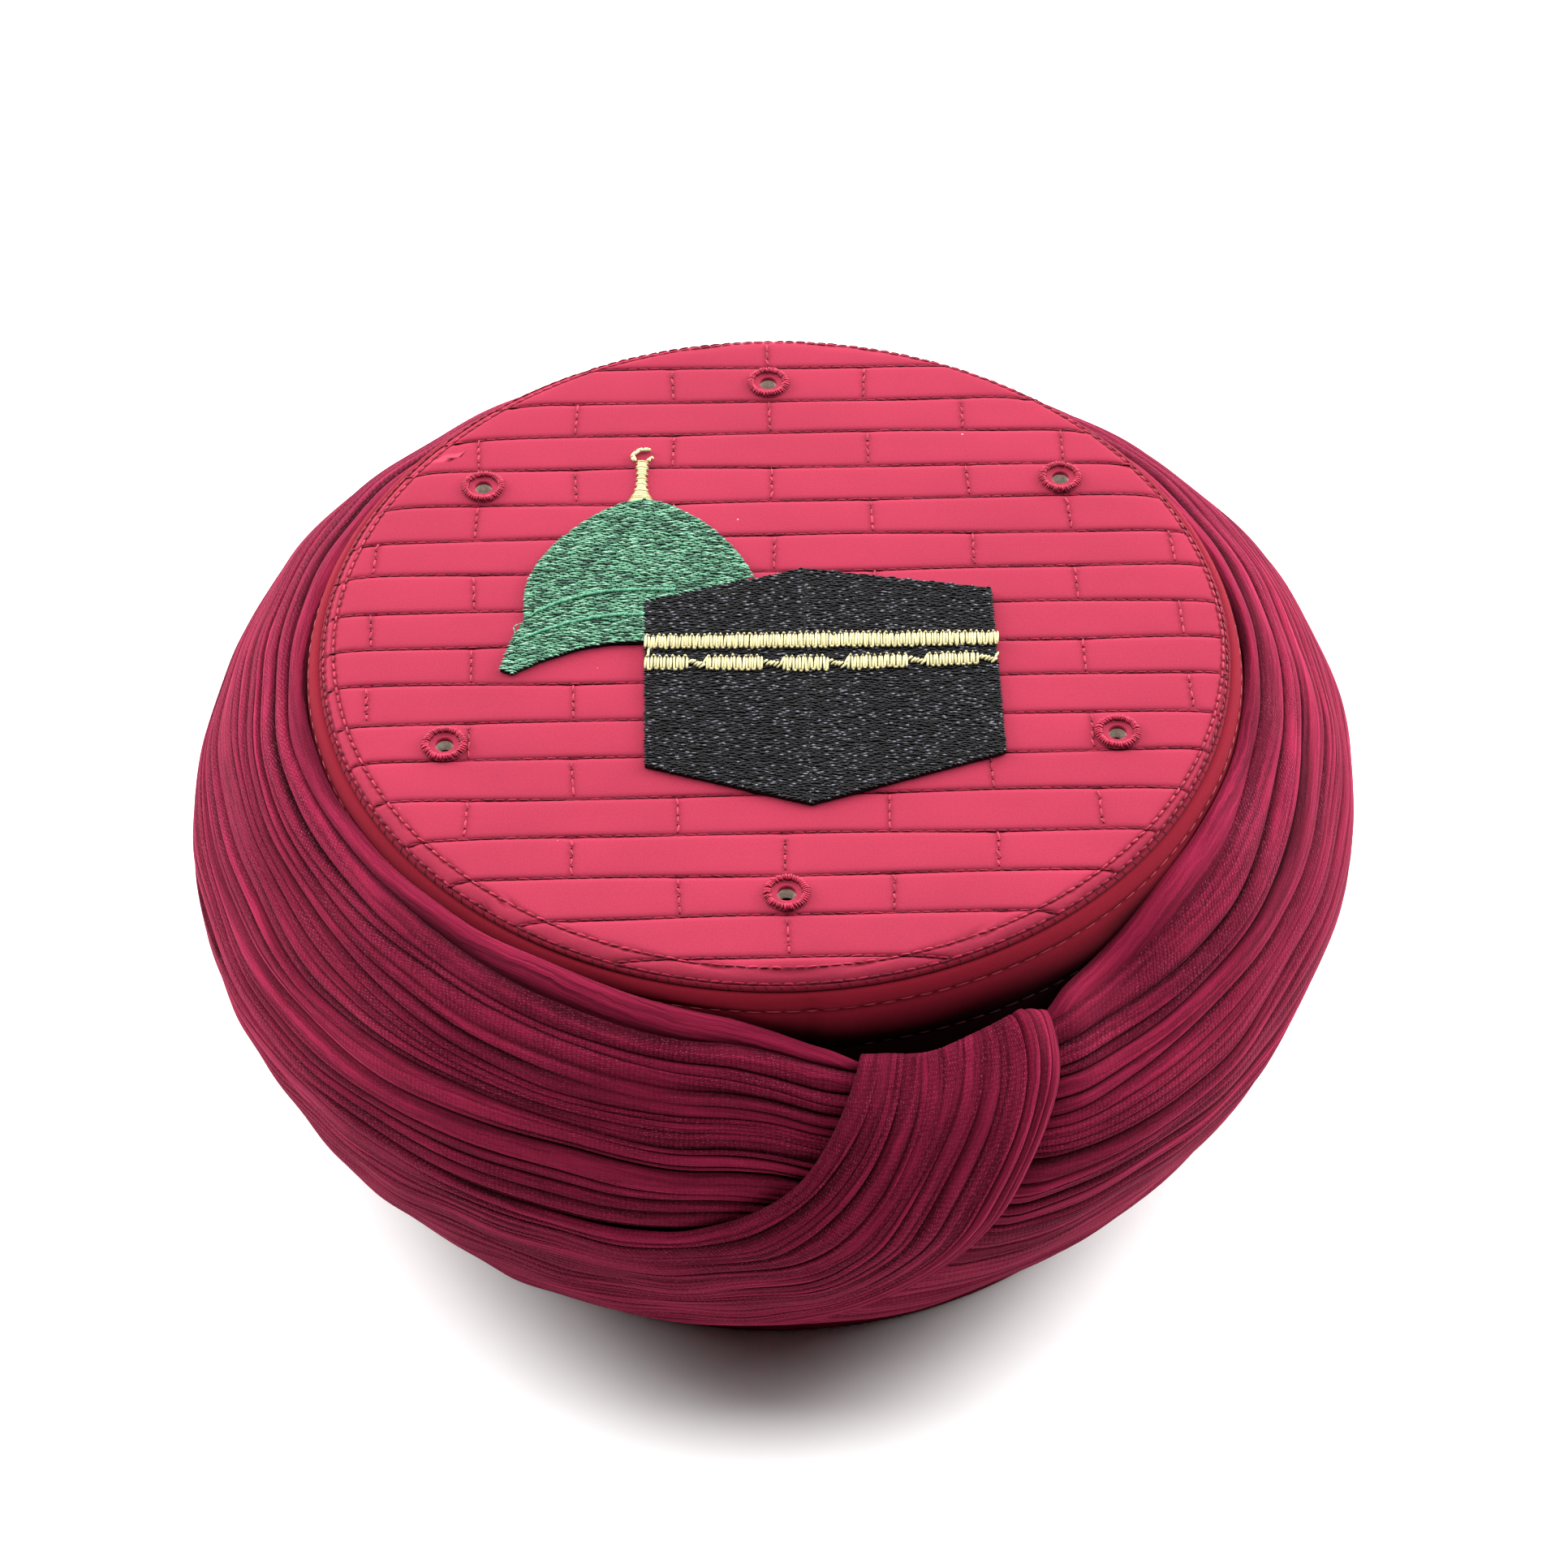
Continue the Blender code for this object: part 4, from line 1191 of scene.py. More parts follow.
def crown_to_quilt(x: ndarray, y: ndarray) -> tuple[ndarray, ndarray]:
    """Turns places on the crown into places on the quilting's own axes.

    Args:
        x: places on the crown, in millimetres.
        y: the same.

    Returns:
        The places along the rows and across them.
    """
    cos, sin = math.cos(QUILT_TURN), math.sin(QUILT_TURN)
    dx, dy = x - QUILT_CENTRE[0], y - QUILT_CENTRE[1]
    return cos * dx + sin * dy, -sin * dx + cos * dy


def eyelet_spots() -> list[tuple[float, float]]:
    """The eyelets' centres on the crown, in millimetres."""
    places = [(half * BRICK_LENGTH / 2, (MIDDLE_ROW - row) * QUILT_PITCH) for half, row in EYELETS]
    return [tuple(float(v) for v in quilt_to_crown(*place)) for place in places]


@dataclass
class ThreadWork:
    """Short threads laid one by one and joined in one mesh."""

    sides: int = 6
    rings: int = 4
    sections: list = field(default_factory=list)

    def add(
        self,
        start: ndarray,
        end: ndarray,
        up: tuple | ndarray,
        width: float | ndarray,
        arch: float | ndarray,
        tint: float | ndarray = 0.0,
    ) -> None:
        """Adds stitches.

        Args:
            start: where each one comes up, n by 3 in millimetres.
            end: where each one goes down.
            up: the way off the cloth, one for all or n by 3.
            width: the thread's width in millimetres.
            arch: how far the middle stands above the ends.
            tint: each one's own shade, -1 to 1.
        """
        count = len(start)
        ups = np.broadcast_to(np.asarray(up, float), (count, 3))
        each = [np.broadcast_to(np.asarray(value, float), (count,)) for value in (width, arch, tint)]
        self.sections.append((np.asarray(start, float), np.asarray(end, float), ups, *each))

    def bead(self) -> tuple[ndarray, ndarray, ndarray]:
        """Makes one stitch's shape.

        Returns:
            Its points, and its corners and their counts face by face.
        """
        edit = bmesh.new()
        bmesh.ops.create_uvsphere(edit, u_segments=self.sides, v_segments=self.rings, radius=0.5)
        bmesh.ops.rotate(edit, verts=edit.verts[:], matrix=Matrix.Rotation(math.pi / 2, 3, "Y"))
        edit.verts.ensure_lookup_table()
        points = np.array([v.co[:] for v in edit.verts])
        corners = np.array([v.index for face in edit.faces for v in face.verts])
        counts = np.array([len(face.verts) for face in edit.faces])
        edit.free()
        # Fuller towards its ends than an egg, as a thread that dives into cloth is
        size = np.hypot(points[:, 1], points[:, 2])
        grow = np.where(size > 1e-6, 0.5 * (2 * size) ** 0.45 / np.maximum(size, 1e-6), 1.0)
        points[:, 1:] *= grow[:, None]
        return points, corners, counts

    def build(self, name: str, materials: list) -> Object:
        """Joins every stitch into one object.

        Args:
            name: the object's name.
            materials: its materials.

        Returns:
            The object.
        """
        start, end, up, width, arch, tint = (np.concatenate(part) for part in zip(*self.sections))
        points, corners, counts = self.bead()
        forward = end - start
        length = np.linalg.norm(forward, axis=1, keepdims=True)
        forward = forward / np.maximum(length, 1e-6)
        side = np.cross(up, forward)
        side /= np.maximum(np.linalg.norm(side, axis=1, keepdims=True), 1e-6)
        top = np.cross(forward, side)
        middle = (start + end) / 2
        x, y, z = points[:, 0], points[:, 1], points[:, 2]
        rise = arch[:, None] * (1.0 - (2 * x[None, :]) ** 2)
        placed = (
            middle[:, None]
            + forward[:, None] * (x[None, :, None] * length[:, :, None])
            + side[:, None] * (y[None, :] * width[:, None])[..., None]
            + top[:, None] * (z[None, :] * width[:, None] + rise)[..., None]
        )
        total, each = len(start), len(points)
        mesh = bpy.data.meshes.new(name)
        mesh.vertices.add(total * each)
        mesh.vertices.foreach_set("co", (placed * MM).astype(np.float32).ravel())
        mesh.loops.add(total * len(corners))
        shifted = corners[None, :] + (np.arange(total) * each)[:, None]
        mesh.loops.foreach_set("vertex_index", shifted.astype(np.int32).ravel())
        mesh.polygons.add(total * len(counts))
        firsts = np.concatenate([[0], np.cumsum(counts)[:-1]])
        all_firsts = firsts[None, :] + (np.arange(total) * len(corners))[:, None]
        mesh.polygons.foreach_set("loop_start", all_firsts.astype(np.int32).ravel())
        mesh.update(calc_edges=True)
        for mark, values in (("tint", np.repeat(tint, each)), ("along", np.tile(np.abs(2 * x), total))):
            layer = mesh.attributes.new(mark, "FLOAT", "POINT")
            layer.data.foreach_set("value", values.astype(np.float32))
        mesh.validate()
        return to_object(name, mesh, materials)


@dataclass(frozen=True)
class EmbroideryThread:
    """Trilobal polyester thread: a satin gloss, and each stitch a little lighter or darker."""

    name: str
    colour: str
    # The painted shade at each stitch's ends, where the thread dives into the cloth
    dark: str
    roughness: float = 0.38
    spread: float = 0.35
    gloss: float = 0.12
    # A painted highlight's colour, laid along the middle of stitches whose tints pass 1
    glint: str = ""

    def material(self) -> Material:
        """Makes the material: each stitch toned by its own tint, with painted shade at its ends and, given a
        glint colour, a painted highlight on some.

        Returns:
            The material.
        """
        material, tree, shader = new_material(self.name)
        add = partial(add_node, tree)
        tint = add(ATTRIBUTE, {"attribute_name": "tint"}).outputs["Fac"]
        along = add(ATTRIBUTE, {"attribute_name": "along"}).outputs["Fac"]
        place = add(COORDINATES).outputs["Object"]
        own_tint = add(MATH, {"operation": "MINIMUM", 1: 1.0}, {0: tint}).outputs[0]
        # Twisted plies, 0.3 mm apart along the thread
        plies = add(NOISE, {"Scale": 3300.0, "Detail": 1.0}, {"Vector": place}).outputs["Fac"]
        # Painted shade towards the ends, where the thread dives into the cloth
        sunk = add(MAP_RANGE, {1: 0.55, 2: 1.0, 3: 0.0, 4: 0.75}, {0: along}).outputs[0]
        dye_and_shade = RGBA | {6: linear(self.colour), 7: linear(self.dark)}
        base = add(MIX, dye_and_shade, {0: sunk}).outputs[2]
        own_tone = {"operation": "MULTIPLY_ADD", 1: self.spread, 2: 1.0}
        toned = add(MATH, own_tone, {0: own_tint}).outputs[0]
        ply_tone = add(MAP_RANGE, {1: 0.3, 2: 0.7, 3: 0.8, 4: 1.15}, {0: plies}).outputs[0]
        tone = add(MATH, MULTIPLY, {0: toned, 1: ply_tone}).outputs[0]
        colour = add(VECTOR_MATH, SCALE, {0: base, "Scale": tone}).outputs[0]
        if self.glint:
            # Tints past 1 mark the stitches that get a painted highlight along their middle
            bright = add(MAP_RANGE, {1: 1.0, 2: 2.0, 3: 0.0, 4: 1.0}, {0: tint}).outputs[0]
            inner = add(MAP_RANGE, {1: 0.12, 2: 0.4, 3: 1.0, 4: 0.0}, {0: along}).outputs[0]
            share = add(MATH, MULTIPLY, {0: bright, 1: inner}).outputs[0]
            light = RGBA | {7: linear(self.glint)}
            colour = add(MIX, light, {0: share, 6: colour}).outputs[2]
        bump = add(BUMP, {"Strength": 0.4, "Distance": 0.0001}, {"Height": plies}).outputs[0]
        satin = {"Roughness": self.roughness, "Specular IOR Level": self.gloss, "Sheen Weight": 0.05}
        wire(tree, shader, satin, {"Base Color": colour, "Normal": bump})
        return material


@dataclass(frozen=True)
class CapCloth:
    """Brushed polyester twill, tightly woven: matt with a faint bloom and a fine grain."""

    name: str
    colour: str
    # The painted shade's colour, laid where the cloth's shade mark is set
    groove: str
    sheen: float = 0.02
    lint: str = "#e9c3c8"

    def material(self) -> Material:
        """Makes the material, with a fine grain and painted shade wherever its shade mark is set, as in the
        stitched grooves.

        Returns:
            The material.
        """
        material, tree, shader = new_material(self.name)
        add = partial(add_node, tree)
        place = add(COORDINATES).outputs["Object"]
        groove = add(ATTRIBUTE, {"attribute_name": "groove"}).outputs["Fac"]
        # A grain of 0.35 mm, and slow shades some 25 mm across
        grain = add(NOISE, {"Scale": 2800.0, "Detail": 2.0}, {"Vector": place}).outputs["Fac"]
        slow = add(NOISE, {"Scale": 40.0, "Detail": 3.0}, {"Vector": place}).outputs["Fac"]
        # The shade mark paints the second colour in as shade: in the quilting's seams, down the crown's
        # rolled edge, at the band's stitch lines and behind the wrap
        dye_and_shade = RGBA | {6: linear(self.colour), 7: linear(self.groove)}
        base = add(MIX, dye_and_shade, {0: groove}).outputs[2]
        grain_tone = add(MAP_RANGE, {1: 0.25, 2: 0.75, 3: 0.9, 4: 1.09}, {0: grain}).outputs[0]
        slow_tone = add(MAP_RANGE, {1: 0.3, 2: 0.7, 3: 0.95, 4: 1.04}, {0: slow}).outputs[0]
        tone = add(MATH, MULTIPLY, {0: grain_tone, 1: slow_tone}).outputs[0]
        colour = add(VECTOR_MATH, SCALE, {0: base, "Scale": tone}).outputs[0]
        # A few white specks of lint, 0.2 mm across
        scattered = {"Scale": 95.0, "Randomness": 1.0}
        specks = add("ShaderNodeTexVoronoi", scattered, {"Vector": place}).outputs["Distance"]
        lint = add(MAP_RANGE, {1: 0.012, 2: 0.022, 3: 0.55, 4: 0.0}, {0: specks}).outputs[0]
        pale = RGBA | {7: linear(self.lint)}
        colour = add(MIX, pale, {0: lint, 6: colour}).outputs[2]
        bump = add(BUMP, {"Strength": 0.25, "Distance": 0.00008}, {"Height": grain}).outputs[0]
        matt = {"Roughness": 0.85, "Specular IOR Level": 0.04}
        bloom = {"Sheen Weight": self.sheen, "Sheen Roughness": 0.4}
        wire(tree, shader, matt | bloom, {"Base Color": colour, "Normal": bump})
        return material


@dataclass(frozen=True)
class Interlining:
    """Bonded interlining seen at the eyelets' cut edges: pale grey-beige, slightly shiny felt."""

    name: str = "bonded_interlining"
    dark: str = "#8f8468"
    light: str = "#fbf8f2"

    def material(self) -> Material:
        """Makes the material, mottled by its fibres.

        Returns:
            The material.
        """
        material, tree, shader = new_material(self.name)
        place = add_node(tree, COORDINATES).outputs["Object"]
        fibres = add_node(tree, NOISE, {"Scale": 1500.0, "Detail": 2.0}, {"Vector": place}).outputs["Fac"]
        shades = RGBA | {6: linear(self.dark), 7: linear(self.light)}
        colour = add_node(tree, MIX, shades, {0: fibres}).outputs[2]
        wire(tree, shader, {"Roughness": 0.5}, {"Base Color": colour})
        return material


@dataclass(frozen=True)
class TablePaint:
    """Matt white table paint, faintly mottled."""

    name: str = "white_table_paint"

    def material(self) -> Material:
        """Makes the material.

        Returns:
            The material.
        """
        material, tree, shader = new_material(self.name)
        place = add_node(tree, COORDINATES).outputs["Object"]
        mottle = add_node(tree, NOISE, {"Scale": 30.0, "Detail": 4.0}, {"Vector": place}).outputs["Fac"]
        colour = add_node(tree, MAP_RANGE, {1: 0.3, 2: 0.7, 3: 0.9, 4: 0.93}, {0: mottle}).outputs[0]
        wire(tree, shader, {"Roughness": 0.85, "Specular IOR Level": 0.1}, {"Base Color": colour})
        return material


@dataclass
class QuiltedCrown:
    """The flat top: padded cloth sewn down in rows like brickwork, with two stitched circles."""

    cloth: Material
    thread: Material
    light_thread: Material
    edge_radius: float = 90.5
    puff: float = 0.2
    pillow_reach: float = 1.1
    groove_depth: float = 0.32
    groove_width: float = 0.36
    joint_depth: float = 0.16
    joint_width: float = 1.4
    shade_width: float = 0.3
    edge_drop: float = 1.15
    edge_steps: int = 240
    stitch_length: float = 2.3
    thread_width: float = 0.42
    columns: int = 220
    seed: int = 21
    shares: tuple = (0.0, 0.014, 0.035, 0.075, 0.15, 0.28, 0.44, 0.6, 0.74, 0.86, 0.93, 0.97, 0.988)

    def inner_circle(self, angle: ndarray) -> ndarray:
        """Works out how far out the inner stitched circle runs.

        Args:
            angle: angles from +X, in radians.

        Returns:
            Its radius at each angle, in millimetres.
        """
        front = np.maximum(0.0, -np.sin(angle))
        left = np.maximum(0.0, -np.cos(angle))
        right = np.maximum(0.0, np.cos(angle))
        return self.edge_radius - (1.2 + 2.1 * front + 0.7 * left - 0.6 * right)

    def row_wave(self, row: ndarray, across: ndarray) -> ndarray:
        """Works out how far a quilting row strays from straight.

        Args:
            row: the row's number, one for each place.
            across: the places along it, in millimetres.

        Returns:
            How far it strays at each place, in millimetres.
        """
        phase = row * 2.4
        level = (MIDDLE_ROW - row) * QUILT_PITCH
        end = np.sqrt(np.maximum(0.0, self.edge_radius**2 - level**2)) - np.abs(across)
        bend = -1.3 * np.exp(-np.maximum(end, 0.0) / 3.2) * smooth_step((84.0 - np.abs(level)) / 12.0)
        return 0.28 * np.sin(across / 27.0 + phase) + 0.12 * np.sin(across / 9.5 + 1.7 * phase) + bend

    def height(self, x: ndarray, y: ndarray) -> tuple[ndarray, ndarray]:
        """The cloth's height above the crown's flat top, and how near a seam each place lies.

        Args:
            x: places on the crown, in millimetres.
            y: the same.

        Returns:
            The height in millimetres, and 0 to 1 for how deep in a seam, which sets the painted shade.
        """
        across, along = crown_to_quilt(x, y)
        row = MIDDLE_ROW - along / QUILT_PITCH
        nearest = np.rint(row)
        stray = along - (MIDDLE_ROW - nearest) * QUILT_PITCH - self.row_wave(nearest, across)
        from_row = np.abs(stray)
        brick_row = np.floor(row + self.row_wave(nearest, across) / QUILT_PITCH)
        half = across / (BRICK_LENGTH / 2)
        joint = np.where(brick_row % 2 == 0, np.rint(half / 2) * 2, np.rint((half - 1) / 2) * 2 + 1)
        from_joint = np.abs(half - joint) * BRICK_LENGTH / 2
        radius = np.hypot(x, y)
        circle = self.inner_circle(np.arctan2(y, x))
        from_circle = np.abs(radius - circle)
        from_edge = np.maximum(0.0, self.edge_radius - radius)
        beyond = radius > circle
        seam = np.minimum(from_row, 1.2 + from_joint * 0.8)
        seam = np.minimum(seam, np.minimum(from_circle, from_edge))
        pillow = self.puff * (1.0 - np.exp(-seam / self.pillow_reach))
        dip = self.groove_depth * np.exp(-((seam / self.groove_width) ** 2))
        joint_dip = np.where(beyond, 0.0, self.joint_depth * np.exp(-((from_joint / self.joint_width) ** 2)))
        ripple = 0.06 * np.sin(across / 6.1 + 3 * brick_row) * np.exp(-from_row / 3.0)
        past = np.clip((radius - circle) / np.maximum(self.edge_radius - circle, 0.5), 0.0, 1.0)
        slope = self.edge_drop * (0.5 * past + 0.5 * past**2)
        return pillow - dip - joint_dip + ripple - slope, np.exp(-((seam / self.shade_width) ** 2))

    def top(self) -> Object:
        """Makes the quilted cloth: straight rows of points, close together along each seam.

        Returns:
            The cloth, with its rolled edge and its underside.
        """
        centre = crown_to_quilt(0.0, 0.0)
        lines = []
        for row in range(-1, QUILT_ROWS + 2):
            lines += [(MIDDLE_ROW - row - share) * QUILT_PITCH for share in self.shares]
        kept = [line for line in lines if abs(line - centre[1]) < self.edge_radius - 0.15]
        ends = [self.edge_radius, self.edge_radius - 0.02, self.edge_radius - 0.06]
        kept += [centre[1] + e for e in ends] + [centre[1] - e for e in ends]
        along = np.array(sorted(kept))
        chord = np.sqrt(np.maximum(0.0, self.edge_radius**2 - (along - centre[1]) ** 2))
        spread = np.linspace(-1.0, 1.0, self.columns + 1) * math.pi / 2 * 0.75
        share = np.sin(spread) / math.sin(math.pi / 2 * 0.75)
        across = centre[0] + chord[:, None] * share[None, :]
        rows = np.broadcast_to(along[:, None], across.shape)
        nearest = np.rint(MIDDLE_ROW - rows / QUILT_PITCH)
        fade = np.clip((chord[:, None] * (1 - np.abs(share[None, :]))) / 1.6, 0.0, 1.0)
        fade = fade * np.clip((self.edge_radius - np.abs(along - centre[1])) / 6.0, 0.0, 1.0)[:, None]
        rows = rows + self.row_wave(nearest, across) * fade
        x, y = quilt_to_crown(across, rows)
        over = np.maximum(1.0, np.hypot(x, y) / self.edge_radius)
        x, y = x / over, y / over
        height, groove = self.height(x, y)
        points = np.stack([x, y, CROWN_TOP + height], -1) * MM
        cells = np.stack([rows[:-1], rows[1:]], -1)
        mesh = ClothGrid(points, across, cells, {"groove": groove}).build("quilted_crown", False, True)
        edit = bmesh.new()
        edit.from_mesh(mesh)
        hidden = []
        for face in edit.faces:
            spot = face.calc_center_median() / MM
            if any(math.hypot(spot.x - x, spot.y - y) < Eyelets.satin_from for x, y in eyelet_spots()):
                hidden.append(face)
        bmesh.ops.delete(edit, geom=hidden, context="FACES")
        self.add_edge(edit)
        # Paints shade down the rolled edge past the outer circle: 0.72 at least, and darker the lower it
        # drops
        shade = edit.verts.layers.float["groove"]
        for vert in edit.verts:
            past = math.hypot(vert.co.x, vert.co.y) / MM - self.edge_radius
            if past > 0.1:
                vert[shade] = min(1.0, 0.72 + 0.3 * (CROWN_TOP - self.edge_drop - vert.co.z / MM))
        self.add_underside(edit)
        edit.to_mesh(mesh)
        edit.free()
        return to_object("quilted_crown", mesh, [self.cloth])

    def add_edge(self, edit: BMesh) -> None:
        """Turns the rolled edge, from the outer stitched circle round to the band's seam.

        Args:
            edit: the mesh that it goes into.
        """
        low = CROWN_TOP - self.edge_drop
        profile = (
            (self.edge_radius - 0.05, low - self.groove_depth),
            (self.edge_radius + 0.2, low - 0.12),
            (self.edge_radius + 0.5, low - 0.1),
            (self.edge_radius + 0.78, low - 0.35),
            (self.edge_radius + 0.86, low - 0.8),
            (self.edge_radius + 0.7, low - 1.3),
            (self.edge_radius + 0.3, low - 1.6),
            (self.edge_radius - 0.3, CROWN_UNDERSIDE),
        )
        turn_profile(edit, profile, self.edge_steps)

    def add_underside(self, edit: BMesh) -> None:
        """Fills the crown's underside, open at the eyelets.

        Args:
            edit: the mesh that it goes into.
        """
        rings = []
        circles = [(0.0, 0.0, self.edge_radius - 0.3, 96)]
        circles += [(x, y, Eyelets.hole_radius, 24) for x, y in eyelet_spots()]
        for x, y, radius, segments in circles:
            ring = bmesh.ops.create_circle(edit, cap_ends=False, segments=segments, radius=radius * MM)
            bmesh.ops.translate(edit, verts=ring["verts"], vec=(x * MM, y * MM, CROWN_UNDERSIDE * MM))
            rings += list({edge for vert in ring["verts"] for edge in vert.link_edges})
        filled = bmesh.ops.triangle_fill(edit, use_beauty=True, edges=rings)
        for item in filled["geom"]:
            if isinstance(item, BMFace) and item.normal.z > 0:
                item.normal_flip()

    def stitches(self) -> list[Object]:
        """Lays the quilting threads: rows, short joints between them, and the two circles.

        Returns:
            The rows' threads and the joints' lighter ones.
        """
        rng = np.random.default_rng(self.seed)
        rows, joints = ThreadWork(), ThreadWork()
        for row in range(QUILT_ROWS + 1):
            across = np.arange(-95.0, 95.0, self.stitch_length) + rng.uniform(0, 1)
            along = (MIDDLE_ROW - row) * QUILT_PITCH + self.row_wave(np.full_like(across, row), across)
            self.lay(rows, rng, np.stack(quilt_to_crown(across, along), 1), 0.0)
        for row in range(-1, QUILT_ROWS + 1):
            for half in range(-5, 6):
                if (half - row) % 2:
                    continue
                top, bottom = (MIDDLE_ROW - row) * QUILT_PITCH, (MIDDLE_ROW - row - 1) * QUILT_PITCH
                along = np.linspace(top - 0.5, bottom + 0.5, 5)
                across = half * BRICK_LENGTH / 2 + np.linspace(-0.3, 0.3, 5) * rng.uniform(-1, 1)
                x, y = quilt_to_crown(across, along)
                within = np.hypot(x, y) < self.inner_circle(np.arctan2(y, x)) - 0.6
                line = np.stack([x, y], 1)[within]
                if len(line) < 3:
                    continue
                self.lay(joints, rng, line, 0.12, lean=0.16)
                knots = line[1:-1]
                self.lay(rows, rng, np.stack([knots - 0.22, knots + 0.22], 1).reshape(-1, 2), 0.0, every=2)
        angle = np.linspace(0, 2 * math.pi, int(2 * math.pi * self.edge_radius / self.stitch_length) + 1)
        for radius, target in ((self.edge_radius, rows), (self.inner_circle(angle), joints)):
            self.lay(target, rng, polar(radius, angle, 0.0)[:, :2], 0.08, circle=True)
        self.lay_ticks(rows, rng)
        pieces = []
        for work, name, thread in (
            (rows, "crown_row_thread", self.thread),
            (joints, "crown_joint_thread", self.light_thread),
        ):
            piece = work.build(name, [thread])
            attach(piece, ROOT)
            pieces.append(piece)
        return pieces

    def lay_ticks(self, work: ThreadWork, rng: Generator) -> None:
        """Lays the short stitches that catch the crown's rolled edge, where they show from the front.

        Args:
            work: where they go.
            rng: the seeded generator.
        """
        count = int(2 * math.pi * self.edge_radius / 2.6)
        angle = np.arange(count) * 2 * math.pi / count + rng.normal(0, 0.003, count)
        angle = angle[np.sin(angle) < 0.2]
        low = CROWN_TOP - self.edge_drop
        start = polar(self.edge_radius + 0.35, angle, low + 0.02)
        end = polar(self.edge_radius + 0.95, angle + 0.006, low - 0.75)
        work.add(start, end, UP, 0.24, 0.1, -1.6)

    def lay(
        self,
        work: ThreadWork,
        rng: Generator,
        line: ndarray,
        gap: float,
        circle: bool = False,
        lean: float = 0.07,
        every: int = 1,
    ) -> None:
        """Lays stitches end to end along a line, inside the crown and clear of its eyelets.

        Args:
            work: where they go.
            rng: the seeded generator.
            line: n by 2 points in millimetres.
            gap: how much of each stitch is hidden under the cloth.
            circle: whether the line is one of the stitched circles.
            lean: how far a stitch's ends stray.
            every: 1 for a stitch between all points, 2 for one to each pair of points.
        """
        start, end = line[:-1][::every], line[1:][::every]
        middle = (start + end) / 2
        angle = np.arctan2(middle[:, 1], middle[:, 0])
        kept = np.hypot(middle[:, 0], middle[:, 1]) < self.edge_radius - 0.2
        if circle:
            kept[:] = True
        for x, y in eyelet_spots():
            kept &= np.hypot(middle[:, 0] - x, middle[:, 1] - y) > Eyelets.outer_radius
        start, end = start[kept], end[kept]
        if not len(start):
            return
        share = 0.5 - gap * 0.5
        middle, half = (start + end) / 2, (end - start) * share
        lean = rng.normal(0.0, lean, (len(start), 2))
        height, _ = self.height(middle[:, 0], middle[:, 1])
        if circle:
            # The cloth bridges the narrow dip of a circle, so the thread lies on what is either side
            sides = [self.height(*(middle * share).T)[0] for share in (0.992, 0.997)]
            sunk = 0.06 + 0.3 * np.clip(np.sin(angle[kept]), 0.0, 1.0)
            height = np.maximum(height, np.mean(sides, axis=0) - sunk)
        low = np.stack([middle[:, 0], middle[:, 1], CROWN_TOP + height + 0.12], 1)
        reach = np.concatenate([half + lean, np.zeros((len(start), 1))], 1)
        width = self.thread_width * rng.uniform(0.8, 1.15, len(start))
        work.add(low - reach, low + reach, UP, width, 0.1, rng.uniform(-1, 1, len(start)))

    def build(self) -> list[Object]:
        """Builds and dresses the crown.

        Returns:
            The padded cloth and its threads.
        """
        piece = self.top()
        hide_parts("crown_panel")
        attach(piece, ROOT)
        return [piece] + self.stitches()


